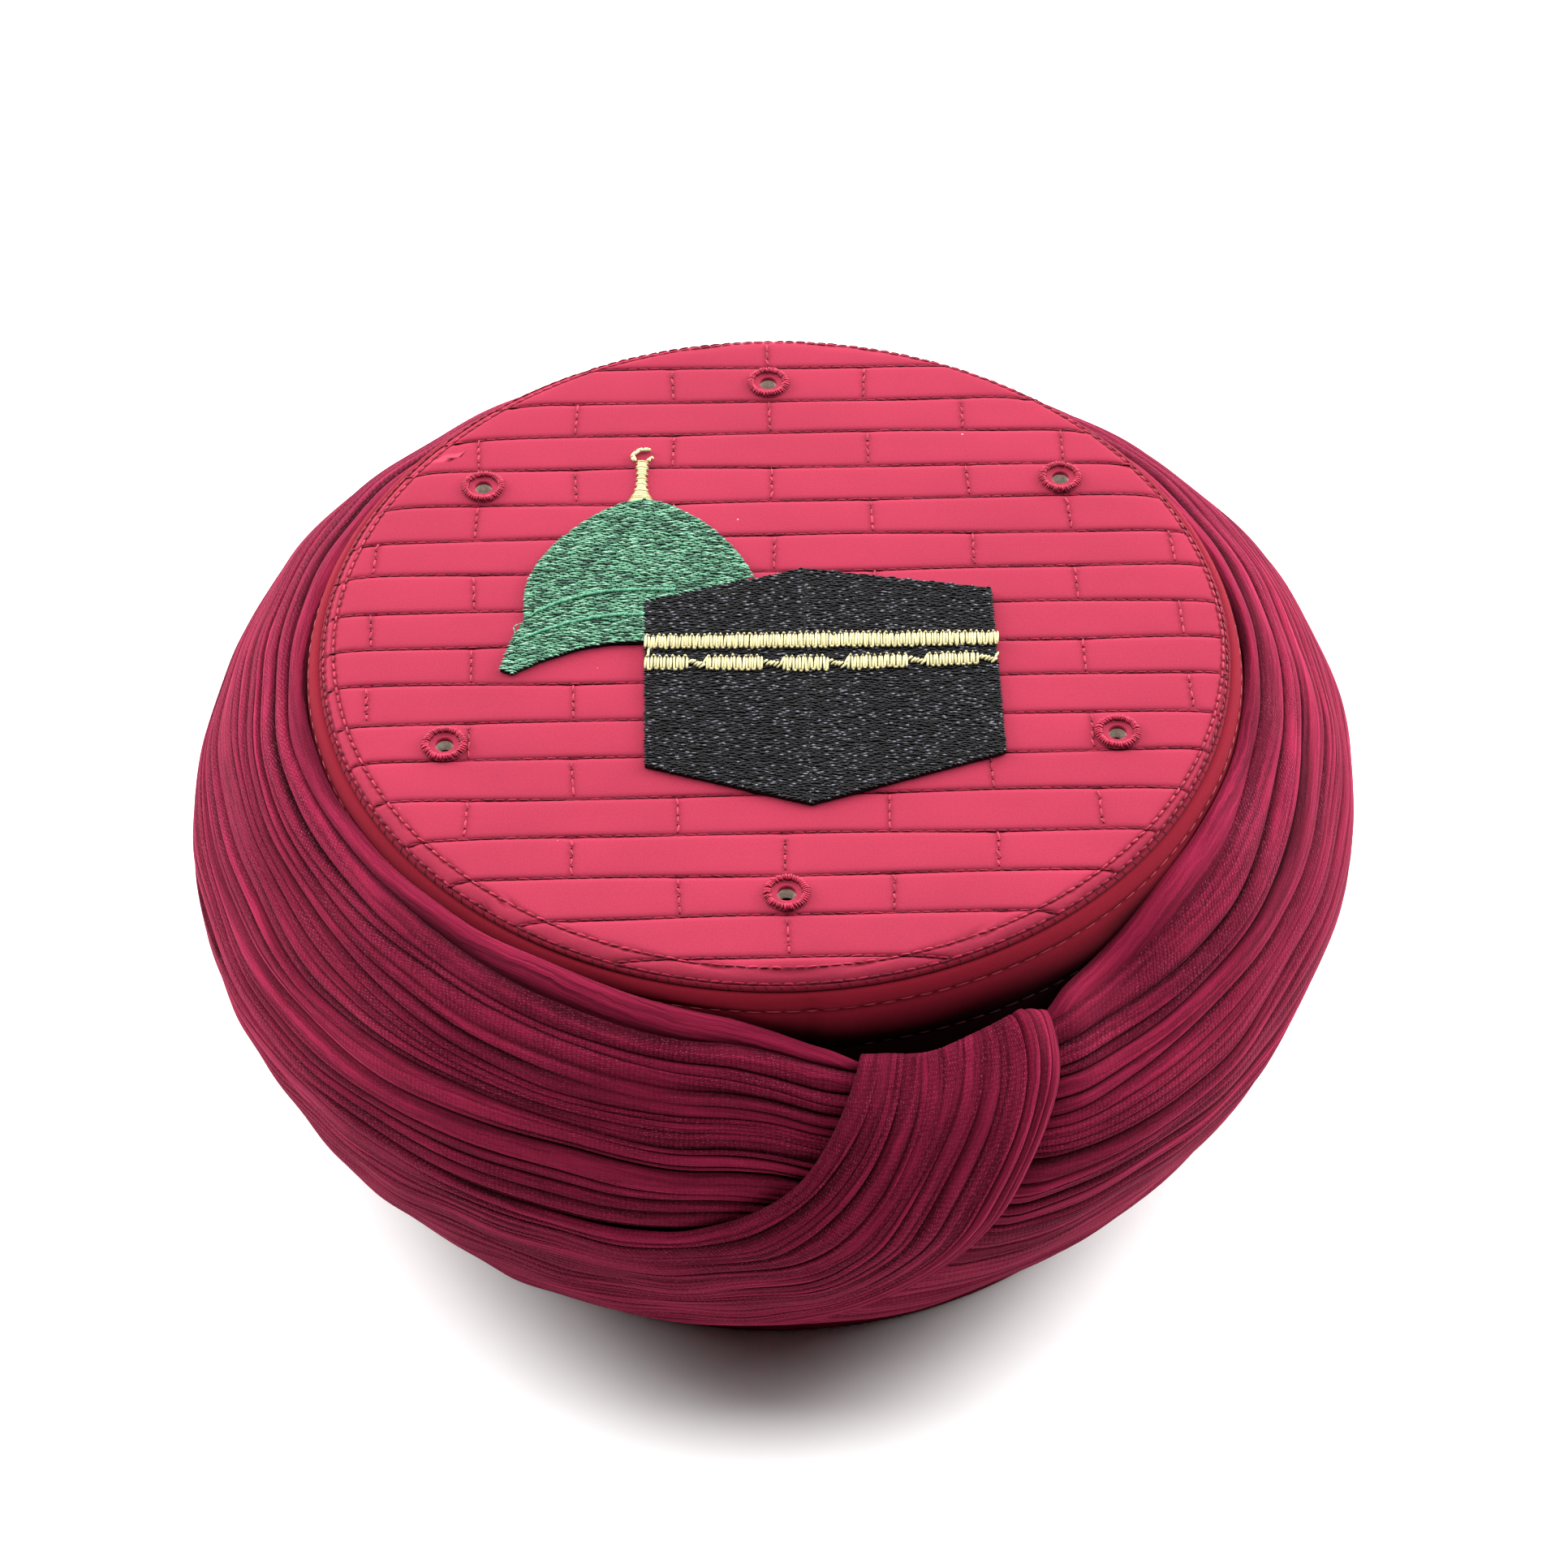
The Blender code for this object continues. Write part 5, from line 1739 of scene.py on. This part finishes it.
@dataclass
class Eyelets:
    """The six air holes, each with a ring of satin stitches and a pale cut edge inside."""

    thread: Material
    cloth: Material
    lining: Material
    hole_radius: float = 1.75
    outer_radius: float = 4.6
    satin_from: float = 2.9
    stitches: int = 46
    steps: int = 36
    seed: int = 31

    def build(self) -> list[Object]:
        """Builds and dresses each eyelet.

        Returns:
            The six rings.
        """
        rng = np.random.default_rng(self.seed)
        rings = []
        for number, (x, y) in enumerate(eyelet_spots(), 1):
            work = ThreadWork()
            angle = np.arange(self.stitches) * 2 * math.pi / self.stitches + rng.uniform(0, 1)
            angle = angle + rng.normal(0, 0.02, self.stitches)
            inner = self.satin_from + rng.uniform(-0.12, 0.08, self.stitches)
            outer = self.outer_radius + rng.uniform(-0.15, 0.12, self.stitches)
            start = polar(inner, angle, CROWN_TOP + 0.55, (x, y))
            end = polar(outer, angle + 0.09, CROWN_TOP + 0.55, (x, y))
            work.add(start, end, UP, 0.52, 0.5, rng.uniform(-1, 1, self.stitches))
            ring = work.build(f"eyelet_{number}_satin", [self.thread, self.cloth, self.lining])
            self.add_bed(ring, x, y)
            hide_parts(f"eyelet_{number}")
            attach(ring, ROOT)
            rings.append(ring)
        return rings

    def add_bed(self, ring: Object, x: float, y: float) -> None:
        """Adds the cloth under the stitches, turned down at the hole, and the hole's pale wall.

        Args:
            ring: the eyelet's stitches, which it is joined to.
            x: the eyelet's centre, in millimetres.
            y: the same.
        """
        edit = bmesh.new()
        edit.from_mesh(ring.data)
        top = CROWN_TOP
        profile = (
            (self.outer_radius - 0.1, top + 0.3),
            (self.outer_radius - 0.9, top + 0.75),
            (self.satin_from + 0.1, top + 0.55),
            (self.satin_from - 0.25, top + 0.32),
            (self.hole_radius + 0.35, top + 0.42),
            (self.hole_radius + 0.1, top + 0.3),
            (self.hole_radius, top + 0.1),
            (self.hole_radius, top - 0.5),
            (self.hole_radius, CROWN_UNDERSIDE),
        )
        before = set(edit.faces)
        turn_profile(edit, profile, self.steps, (x, y))
        lined = (top - 0.2) * MM
        for face in [face for face in edit.faces if face not in before]:
            spot = face.calc_center_median()
            face.normal_update()
            outwards = Vector((spot.x - x * MM, spot.y - y * MM, 0.0))
            inner = outwards.length < (self.hole_radius + 0.05) * MM
            face.material_index = 2 if spot.z < lined and inner else 1
            facing = -outwards if inner else Vector(UP) + outwards.normalized() * 0.1
            if face.normal.dot(facing) < 0:
                face.normal_flip()
            face.smooth = True
        edit.to_mesh(ring.data)
        edit.free()


@dataclass
class SideBand:
    """The cap's upright wall, turned, with two lines of topstitching and a seam."""

    cloth: Material
    thread: Material
    stitch_lines: tuple = (102.0, 92.0)
    stitch_length: float = 3.6
    seam_azimuth: float = 4.6
    steps: int = 240
    seed: int = 41
    # The outside from the rim up: (height, radius)
    outside: tuple = (
        (0.0, 93.2), (0.35, 93.8), (1.2, 94.05), (20.0, 94.7), (45.0, 95.3), (80.0, 95.1), (91.0, 95.0),
        (91.7, 94.8), (92.0, 94.62), (92.3, 94.8), (93.0, 94.95), (98.0, 94.55), (101.2, 94.1),
        (101.7, 93.8), (102.0, 93.55), (102.3, 93.7), (103.0, 93.6), (103.8, 93.1), (104.4, 92.5),
        (104.75, 91.9), (104.7, 91.2),
    )
    # The inside, from the rim up to the seam under the crown
    inside: tuple = (
        (0.0, 92.2), (0.3, 91.7), (1.2, 91.6), (45.0, 92.9), (92.0, 92.5), (101.0, 88.6), (103.7, 88.6),
        (103.7, 91.0),
    )

    def radius(self, height: float) -> float:
        """The outer radius at this height."""
        heights, radii = zip(*self.outside)
        return float(np.interp(height, heights, radii))

    def build(self) -> list[Object]:
        """Builds and dresses the band and its topstitching.

        Returns:
            The band and the threads.
        """
        edit = bmesh.new()
        loop = [(radius, height) for height, radius in self.outside[::-1] + self.inside]
        turn_profile(edit, loop, self.steps, closed=True)
        self.press_seam(edit)
        piece = from_bmesh("side_band_cloth", edit, [self.cloth])
        groove = piece.data.attributes.new("groove", "FLOAT", "POINT")
        places = np.empty(len(piece.data.vertices) * 3, np.float32)
        piece.data.vertices.foreach_get("co", places)
        places = places.reshape(-1, 3) / MM
        near = np.min([np.abs(places[:, 2] - line) for line in self.stitch_lines], axis=0)
        azimuth = np.degrees(np.arctan2(places[:, 0], -places[:, 1]))
        edge = round_the_wrap(tuple(row[:2] for row in WRAP), azimuth)
        # Painted shade where the band lies behind the wrap, reaching further up where the wrap stands low and
        # fading out towards the rim
        reach = 2.5 + 4.5 * smooth_step((101.0 - edge) / 5.0)
        behind = smooth_step((edge + reach - places[:, 2]) / 8.0) * smooth_step(places[:, 2] / 60.0)
        # Painted shade along each line of topstitching
        stitch_line_shade = np.exp(-((near / 0.35) ** 2)) * 0.45
        groove.data.foreach_set("value", np.maximum(behind, stitch_line_shade).astype(np.float32))
        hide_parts("side_band")
        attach(piece, ROOT)
        return [piece, self.topstitch()]

    def press_seam(self, edit: BMesh) -> None:
        """Presses the upright seam at the front into the outside of the band.

        Args:
            edit: the band's mesh.
        """
        for vert in edit.verts:
            azimuth = math.degrees(math.atan2(vert.co.x, -vert.co.y))
            radius = math.hypot(vert.co.x, vert.co.y) / MM
            away = (azimuth - self.seam_azimuth) * 1.65
            if radius < 93.0 or vert.co.z < 0.002:
                continue
            dip = 0.35 * math.exp(-((away / 0.9) ** 2)) - (0.16 if 0 < away < 9 else 0.0)
            scale = (radius - dip) / radius
            vert.co.x *= scale
            vert.co.y *= scale

    def topstitch(self) -> Object:
        """Lays the two lines of topstitching.

        Returns:
            The threads.
        """
        rng = np.random.default_rng(self.seed)
        work = ThreadWork()
        for line in self.stitch_lines:
            radius = self.radius(line) + 0.18
            count = int(2 * math.pi * radius / self.stitch_length)
            angle = np.arange(count) * 2 * math.pi / count
            half = rng.uniform(0.3, 0.47, count) * self.stitch_length / radius
            level = line + 0.25 * np.sin(angle * 7) + rng.normal(0, 0.08, count)
            start, end = (
                np.stack([radius * np.sin(turned), -radius * np.cos(turned), level], 1)
                for turned in (angle - half, angle + half)
            )
            up = np.stack([np.sin(angle), -np.cos(angle), np.zeros(count)], 1)
            # The lower line lies behind the wrap, so its threads get painted shade
            shaded = 0.0 if line > 97 else 1.4
            work.add(start, end, up, 0.26, 0.08, rng.uniform(-1, 1, count) * 0.3 - shaded)
        piece = work.build("band_topstitching", [self.thread])
        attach(piece, ROOT)
        return piece


@dataclass
class Embroidery:
    """The stitched figures on the crown: a green dome with a gold finial, a black cube, gold bands."""

    green: Material
    shade_green: Material
    pale_green: Material
    black: Material
    gold: Material
    thread_pitch: float = 0.42
    base: float = CROWN_TOP + 1.05
    seed: int = 51
    dome_centre: tuple = (-27.2, 11.8)
    dome_half_width: float = 23.5
    dome_rise: float = 27.0
    dome_power: float = 1.55
    dome_flare: tuple = ((-50.6, 3.1), (-52.8, -2.6), (-54.8, -10.6), (-52.2, -11.7))
    dome_foot: tuple = ((-46.9, -8.2), (-38.8, -4.5), (-32.3, -3.0), (-26.0, -2.7))
    dome_arcs: tuple = (
        ((-48.3, 5.2), (-44.0, 7.9), (-38.6, 10.2), (-33.0, 11.5), (-26.3, 11.9), (-20.5, 11.8)),
        ((-51.8, -3.0), (-47.0, -0.2), (-41.6, 2.2), (-36.5, 3.8), (-31.9, 4.6), (-26.2, 4.7)),
    )
    dome_loop: tuple = ((-50.4, 1.9), (-51.6, 2.0), (-52.5, 1.2), (-52.3, 0.1), (-51.7, -1.0), (-51.3, -1.9))
    cube: tuple = ((-26.3, 8.3), (5.6, 18.4), (43.7, 12.9), (45.2, -32.6), (7.2, -46.5), (-25.2, -36.6))
    # The bands' edges from left to right: x, then the top and foot of the upper and the lower one
    band_edges: tuple = (
        (-25.5, -1.6, -5.3, -7.3, -11.1),
        (9.0, -0.6, -4.8, -7.2, -11.3),
        (44.2, -0.1, -3.8, -5.7, -9.2),
    )
    bands_end: float = 44.6
    blocks: tuple = ((-25.8, -17.5), (-13.5, -2.6), (1.9, 10.4), (14.7, 26.2), (30.5, 40.3))
    finial_x: float = -27.9
    # The finial's stem, (place along it, half its width), and the threads of its crescent
    finial_stem: tuple = (
        (38.3, 3.0), (39.3, 2.6), (41.0, 1.7), (42.6, 1.25), (46.0, 1.0), (49.2, 1.3), (50.7, 1.15),
    )
    rng: Generator = field(init=False)
    crescent: tuple = (
        ((-29.3, 50.6), (-30.2, 51.9), (-29.9, 52.7)),
        ((-30.2, 52.2), (-29.3, 53.7), (-28.3, 54.2)),
        ((-29.0, 53.9), (-27.8, 54.5), (-26.1, 54.1)),
        ((-27.0, 50.7), (-26.2, 51.3), (-25.7, 52.0)),
    )

    def __post_init__(self) -> None:
        """Seeds the figures' generator."""
        self.rng = np.random.default_rng(self.seed)

    def dome_outline(self) -> ndarray:
        """Works out the dome's outline, closed along the cube's edges.

        Returns:
            The outline's points, n by 2 in millimetres.
        """
        centre_x, centre_y = self.dome_centre
        angle = np.radians(np.linspace(-90, 90, 41))
        power = 2.0 / self.dome_power
        x = centre_x + self.dome_half_width * np.copysign(np.abs(np.sin(angle)) ** power, angle)
        y = centre_y + self.dome_rise * np.abs(np.cos(angle)) ** power
        arch = [(a, b) for a, b in zip(x, y) if a < self.cube[0][0] or b > self.cube_top(a) + 0.4]
        left = self.cube[0][0] - 0.3
        along_cube = [(arch[-1][0], self.cube_top(arch[-1][0]) + 0.3), (left, self.cube[0][1] + 0.3)]
        return np.array(arch + along_cube + list(self.dome_foot)[::-1] + list(self.dome_flare)[::-1])

    def cube_top(self, x: float) -> float:
        """The height of the cube's upper outline at this place across."""
        xs, ys = zip(*self.cube[:3])
        return float(np.interp(x, xs, ys))

    @staticmethod
    def spans(outline: ndarray, level: float) -> list[tuple[float, float]]:
        """Works out where a straight row lies inside an outline.

        Args:
            outline: n by 2, in millimetres.
            level: the row's Y.

        Returns:
            Its start and end in X, for each stretch inside.
        """
        hits = []
        for (x1, y1), (x2, y2) in zip(outline, np.roll(outline, -1, axis=0)):
            if (y1 > level) != (y2 > level):
                hits.append(x1 + (level - y1) * (x2 - x1) / (y2 - y1))
        hits.sort()
        return list(zip(hits[::2], hits[1::2]))

    def fill(self, work: ThreadWork, outline: ndarray, length: float, slope: float, width: float) -> None:
        """Fills an outline with rows of staggered stitches.

        Args:
            work: where they go.
            outline: n by 2, in millimetres.
            length: a stitch's length.
            slope: how much the rows fall from left to right, as a share.
            width: the thread's width.
        """
        rng = np.random.default_rng(self.seed + int(length * 10))
        tilted = outline.copy()
        tilted[:, 1] += slope * tilted[:, 0]
        level = tilted[:, 1].min() + 0.1
        row = 0
        starts, ends, tints = [], [], []
        while level < tilted[:, 1].max():
            stagger = (row * 0.381966) % 1.0
            for left, right in self.spans(tilted, level):
                left, right = left - rng.uniform(0.0, 0.35), right + rng.uniform(0.0, 0.35)
                marks = np.arange(math.floor(left / length) - 1, math.ceil(right / length) + 2) + stagger
                marks = marks * length + rng.normal(0, 0.22, len(marks))
                marks = marks[(marks > left + 0.5) & (marks < right - 0.5)]
                marks = np.concatenate([[left], marks, [right]])
                for one, other in zip(marks, marks[1:]):
                    lean = rng.normal(0.0, 0.13, 2)
                    starts.append((one - 0.1, level - slope * one + lean[0], self.base))
                    ends.append((other + 0.1, level - slope * other + lean[1], self.base))
                    # Three stitches in ten get a tint past 1, a painted highlight where their thread has a
                    # glint colour
                    tints.append(rng.uniform(1.0, 2.0) if rng.random() < 0.3 else rng.uniform(-1, 1))
            level += self.thread_pitch * rng.uniform(0.92, 1.08)
            row += 1
        heights = rng.normal(0.0, 0.05, len(starts))
        starts, ends = np.array(starts), np.array(ends)
        starts[:, 2] += heights
        ends[:, 2] += heights
        work.add(starts, ends, UP, width, 0.2, np.array(tints))

    def satin(self, work: ThreadWork, tops: ndarray, foots: ndarray, width: float, base: float) -> None:
        """Lays one stitch from each foot to each top.

        Args:
            work: where they go.
            tops: where they end, n by 2 in millimetres.
            foots: where they start.
            width: the thread's width.
            base: their height.
        """
        count = len(tops)
        level = base + self.rng.normal(0, 0.05, (count, 1))
        start, end = np.concatenate([foots, level], 1), np.concatenate([tops, level], 1)
        work.add(start, end, UP, width, 0.25, self.rng.uniform(-1, 1, count))

    @staticmethod
    def underlay(node: str, material: Material) -> None:
        """Gives the plate under the stitches its thread finish.

        Args:
            node: the plate's name.
            material: the finish.
        """
        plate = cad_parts[node]
        plate.data.materials.clear()
        plate.data.materials.append(material)

    def build(self) -> list[Object]:
        """Builds and dresses every figure.

        Returns:
            The figures' stitches.
        """
        return self.build_dome() + self.build_cube() + self.build_bands() + self.build_finial()

    @staticmethod
    def finish(
        work: ThreadWork, name: str, slot: str, material: Material, plate: str = ""
    ) -> Object:
        """Args:
            work: the stitches.
            name: the piece's name.
            slot: not used.
            material: its finish.
            plate: the CAD node that it stands in for, if any.

        Returns:
            The piece.
        """
        piece = work.build(name, [material])
        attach(piece, ROOT)
        if plate:
            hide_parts(plate)
        return piece

    def build_dome(self) -> list[Object]:
        """Builds the green dome: staggered rows, and two raised cords of pale satin stitch.

        Returns:
            The rows and the cords.
        """
        work = ThreadWork(sides=5)
        self.fill(work, self.dome_outline(), 2.0, 0.05, 0.36)
        rows = self.finish(work, "dome_stitches", "green_thread", self.green)
        chain = ThreadWork()
        for arc in self.dome_arcs:
            points = np.array(arc)
            gone = np.concatenate([[0.0], np.cumsum(np.linalg.norm(np.diff(points, axis=0), axis=1))])
            spots = np.arange(0.0, gone[-1], 0.4)
            middle = np.stack([np.interp(spots, gone, points[:, i]) for i in (0, 1)], 1)
            reach = np.array((0.28, 0.55)) * self.rng.uniform(0.85, 1.1, (len(spots), 1))
            self.satin(chain, middle + reach, middle - reach, 0.46, self.base + 0.25)
        level = np.linspace(1.3, 0.9, len(self.dome_loop))[:, None] + CROWN_TOP
        path = np.concatenate([np.array(self.dome_loop), level], 1)
        chain.add(path[:-1], path[1:], UP, 0.32, 0.02, 0.3)
        cords = self.finish(chain, "dome_chain_stitches", "green_thread", self.pale_green)
        # The plate under the dome is near-black green: painted shade in the gaps between the stitches
        self.underlay("dome_embroidery", self.shade_green)
        return [rows, cords]

    def build_cube(self) -> list[Object]:
        """Builds the black cube: two faces of staggered rows that meet at its near edge.

        Returns:
            The rows, alone in a list.
        """
        work = ThreadWork(sides=5)
        far_left, top, far_right, near_right, foot, near_left = self.cube
        self.fill(work, np.array((far_left, top, foot, near_left)), 2.1, 0.02, 0.4)
        self.fill(work, np.array((top, far_right, near_right, foot)), 2.0, 0.04, 0.4)
        piece = self.finish(work, "cube_stitches", "black_thread", self.black)
        self.underlay("cube_embroidery", self.black)
        return [piece]

    def band_edge(self, x: ndarray, column: int) -> ndarray:
        """Reads an edge of the gold bands.

        Args:
            x: places across, in millimetres.
            column: the edge's column in the table.

        Returns:
            The edge's Y at each place.
        """
        table = np.array(self.band_edges)
        return np.interp(x, table[:, 0], table[:, column])

    def build_bands(self) -> list[Object]:
        """Builds the gold bands: upright satin stitches that lean to and fro, with knots between blocks.

        Returns:
            The upper and the lower band.
        """
        upper, lower = ThreadWork(), ThreadWork()
        base = CROWN_TOP + 1.5
        self.meander(upper, -25.9, self.bands_end, 1, 2, base)
        for start, end in self.blocks:
            self.meander(lower, start, end, 3, 4, base)
        starts, ends = zip(*self.blocks)
        for start, end in zip(ends, starts[1:] + (self.bands_end,)):
            spots = np.linspace(start + 0.7, end - 0.9, 5)
            middle = (self.band_edge(spots, 3) + self.band_edge(spots, 4)) / 2
            middle = middle + np.linspace(0.5, -0.75, 5) + self.rng.normal(0, 0.12, 5)
            half = np.stack([self.rng.uniform(0.55, 0.75, 5), self.rng.uniform(0.5, 0.85, 5)], 1)
            knot = np.stack([spots, middle], 1)
            self.satin(lower, knot + half, knot - half, 0.55, base)
            foot = np.array([(end - 1.0, self.band_edge(end, 4) + 0.9)])
            top = np.array([(end + 0.1, self.band_edge(end, 3) - 0.1)])
            self.satin(lower, top, foot, 0.5, base + 0.1)
        link = np.array(((-25.2, -5.0), (-25.3, -7.6)))
        self.satin(lower, link[:1], link[1:], 0.5, base)
        return [
            self.finish(upper, "upper_gold_stitches", "gold_thread", self.gold, "gold_band_upper"),
            self.finish(lower, "lower_gold_stitches", "gold_thread", self.gold, "gold_band_lower"),
        ]

    def meander(self, work: ThreadWork, start: float, end: float, top: int, foot: int, base: float) -> None:
        """Lays upright stitches along a band, each joined to the next at its top or its foot.

        Args:
            work: where they go.
            start: where they begin, across.
            end: where they stop.
            top: the column of the band's upper edge.
            foot: the column of its lower edge.
            base: their height.
        """
        count = int((end - start) / 0.56)
        x = np.linspace(start, end, count) + self.rng.normal(0, 0.05, count)
        lean = np.where(np.arange(count) % 2 == 0, 0.08, -0.02) + self.rng.normal(0, 0.05, count)
        high = self.band_edge(x, top) + 0.1 + self.rng.normal(0, 0.16, count)
        low = self.band_edge(x, foot) - 0.1 + self.rng.normal(0, 0.16, count)
        tops, foots = np.stack([x + lean, high], 1), np.stack([x - lean, low], 1)
        self.satin(work, tops, foots, 0.6, base)
        for ends, first, inward in ((tops, 0, -0.15), (foots, 1, 0.15)):
            one, other = ends[first:-1:2], ends[first + 1 :: 2]
            self.satin(work, one + (0.0, inward), other + (0.0, inward), 0.5, base + 0.08)

    def build_finial(self) -> list[Object]:
        """Builds the gold finial: level satin stitches up its stem, and an open crescent of threads.

        Returns:
            The finial, alone in a list.
        """
        work = ThreadWork()
        level = np.arange(38.4, 50.8, 0.42)
        teeth = np.where((np.arange(len(level)) % 4) < 2, 0.22, -0.12) * (level > 42)
        half = np.interp(level, *zip(*self.finial_stem)) + teeth
        right = np.stack([self.finial_x + half, level - 0.12], 1)
        left = np.stack([self.finial_x - half, level + 0.12], 1)
        self.satin(work, right, left, 0.52, self.base - 0.45)
        for line in self.crescent:
            path = np.array([(x, y, self.base - 0.35) for x, y in line])
            work.add(path[:-1], path[1:], UP, 0.8, 0.1, 0.4)
            work.add(path[:1], path[-1:], UP, 0.68, 0.15, 0.2)
        return [self.finish(work, "finial_stitches", "gold_thread", self.gold, "finial_embroidery")]


@dataclass
class Studio:
    """The white table, the soft lights and the camera."""

    camera_place: tuple = (1.863, -579.0, 687.9)
    camera_elevation: float = 47.169
    camera_roll: float = 0.1364
    focal_pixels: float = 5030.3
    image_width: int = 1932
    sensor: float = 36.0
    # How far back the tent's walls begin, as the Y part of a direction, and its two strengths
    tent_edge: tuple = (-0.22, 0.56)
    tent_light: tuple = (0.0, 4.7)

    def build(self) -> None:
        """Builds the table, lights and camera."""
        self.table()
        self.lights()
        self.camera()

    def table(self) -> None:
        """The matt white table."""
        edit = bmesh.new()
        bmesh.ops.create_grid(edit, x_segments=4, y_segments=4, size=4.0)
        floor = from_bmesh("table", edit, [TablePaint().material()])

    def lights(self) -> None:
        """A light tent, bright behind and open towards the camera, with three softboxes."""
        world = bpy.data.worlds.new("light_tent")
        world.use_nodes = True
        tree = world.node_tree
        way = add_node(tree, COORDINATES).outputs["Generated"]
        back = add_node(tree, "ShaderNodeSeparateXYZ", None, {0: way}).outputs["Y"]
        ramp = {"interpolation_type": "SMOOTHSTEP"} | dict(enumerate(self.tent_edge + self.tent_light, 1))
        strength = add_node(tree, MAP_RANGE, ramp, {0: back}).outputs[0]
        wire(tree, tree.nodes["Background"], {"Color": WHITE}, {"Strength": strength})
        scene = bpy.context.scene
        scene.world = world
        scene.view_settings.view_transform = "Standard"
        self.softbox("overhead_strip", (0.0, -0.17, 1.2), (0.0, -0.17, 0.0), 1.4, 0.33, 10.0)
        self.softbox("left_softbox", (-1.1, 0.62, 0.45), (0.0, 0.0, 0.05), 0.8, 0.6, 31.0)
        self.softbox("right_softbox", (1.1, 0.62, 0.45), (0.0, 0.0, 0.05), 0.8, 0.6, 34.0)

    @staticmethod
    def softbox(name: str, place: tuple, target: tuple, width: float, height: float, power: float) -> None:
        """Adds an area light that faces a point.

        Args:
            name: the light's name.
            place: where it stands, in metres.
            target: the point that it faces.
            width: its width in metres.
            height: its height in metres.
            power: its power in watts.
        """
        light = bpy.data.lights.new(name, "AREA")
        light.shape = "RECTANGLE"
        light.size = width
        light.size_y = height
        light.energy = power
        lamp = bpy.data.objects.new(name, light)
        lamp.location = place
        lamp.rotation_euler = (Vector(target) - Vector(place)).to_track_quat("-Z", "Y").to_euler()
        bpy.context.scene.collection.objects.link(lamp)

    def camera(self) -> None:
        """The camera at the photograph's angle."""
        rise = math.radians(self.camera_elevation)
        roll = math.radians(self.camera_roll)
        back = Vector((0.0, -math.cos(rise), math.sin(rise)))
        right = Vector((1.0, 0.0, 0.0))
        up = Vector((0.0, math.sin(rise), math.cos(rise)))
        rolled_right = right * math.cos(roll) + up * math.sin(roll)
        rolled_up = up * math.cos(roll) - right * math.sin(roll)
        data = bpy.data.cameras.new("camera")
        data.sensor_width = self.sensor
        data.lens = self.focal_pixels * self.sensor / self.image_width
        data.clip_start = 0.05
        data.clip_end = 20.0
        camera = bpy.data.objects.new("camera", data)
        turn = Matrix((rolled_right, rolled_up, back)).transposed().to_4x4()
        camera.matrix_world = Matrix.Translation(Vector(self.camera_place) * MM) @ turn
        bpy.context.scene.collection.objects.link(camera)
        bpy.context.scene.camera = camera


def main() -> None:
    """Builds every sub-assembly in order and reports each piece."""
    logging.basicConfig(level=logging.INFO, format="%(message)s")
    Studio().build()
    # Each cloth's second colour is its painted shade
    crown_cloth = CapCloth("brushed_crimson_twill", "#822538", "#560a18").material()
    band_cloth = CapCloth("brushed_crimson_twill_band", "#65101e", "#1b0206", sheen=0.0).material()
    threads = (
        # Name, colour, painted shade at the stitch ends, roughness, spread of shades, gloss and painted
        # highlight
        EmbroideryThread("dark_crimson_sewing_thread", "#6a0b24", "#20020a", 0.45, 0.5, 0.06),
        EmbroideryThread("crimson_sewing_thread", "#8a2036", "#3c0410", 0.45, 0.35, 0.06),
        EmbroideryThread("red_sewing_thread", "#7e1b29", "#400614", 0.42, 0.55),
        EmbroideryThread("crimson_satin_thread", "#8e1a35", "#570519", 0.4, 0.25, 0.08),
        EmbroideryThread("green_embroidery_thread", "#4d7860", "#06231a", 0.34, 0.75, 0.1, "#a3c2b0"),
        # Near-black green: painted shade between the dome's stitches
        EmbroideryThread("green_underlay_in_shade", "#08211a", "#08211a", 0.5, 0.0, 0.05),
        EmbroideryThread("pale_green_chain_thread", "#468165", "#164a2f", 0.36, 0.3),
        EmbroideryThread("black_embroidery_thread", "#0b0a0d", "#030203", 0.26, 0.6, 0.1, "#75757f"),
        EmbroideryThread("pale_gold_embroidery_thread", "#b1a87c", "#6e5a26", 0.42, 0.15),
    )
    quilting, joints, topstitching, satin, *figures = (thread.material() for thread in threads)
    form, gauze = WrapForm(), Gauze().material()
    for assembly in (
        QuiltedCrown(crown_cloth, quilting, joints),
        SideBand(band_cloth, topstitching),
        Eyelets(satin, crown_cloth, Interlining().material()),
        Embroidery(*figures),
        Wrap(form, gauze),
        FrontFold(form, gauze),
    ):
        for piece in assembly.build():
            LOG.info("%s: %d faces", piece.name, len(piece.data.polygons))
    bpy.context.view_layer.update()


if __name__ == "__main__":
    main()
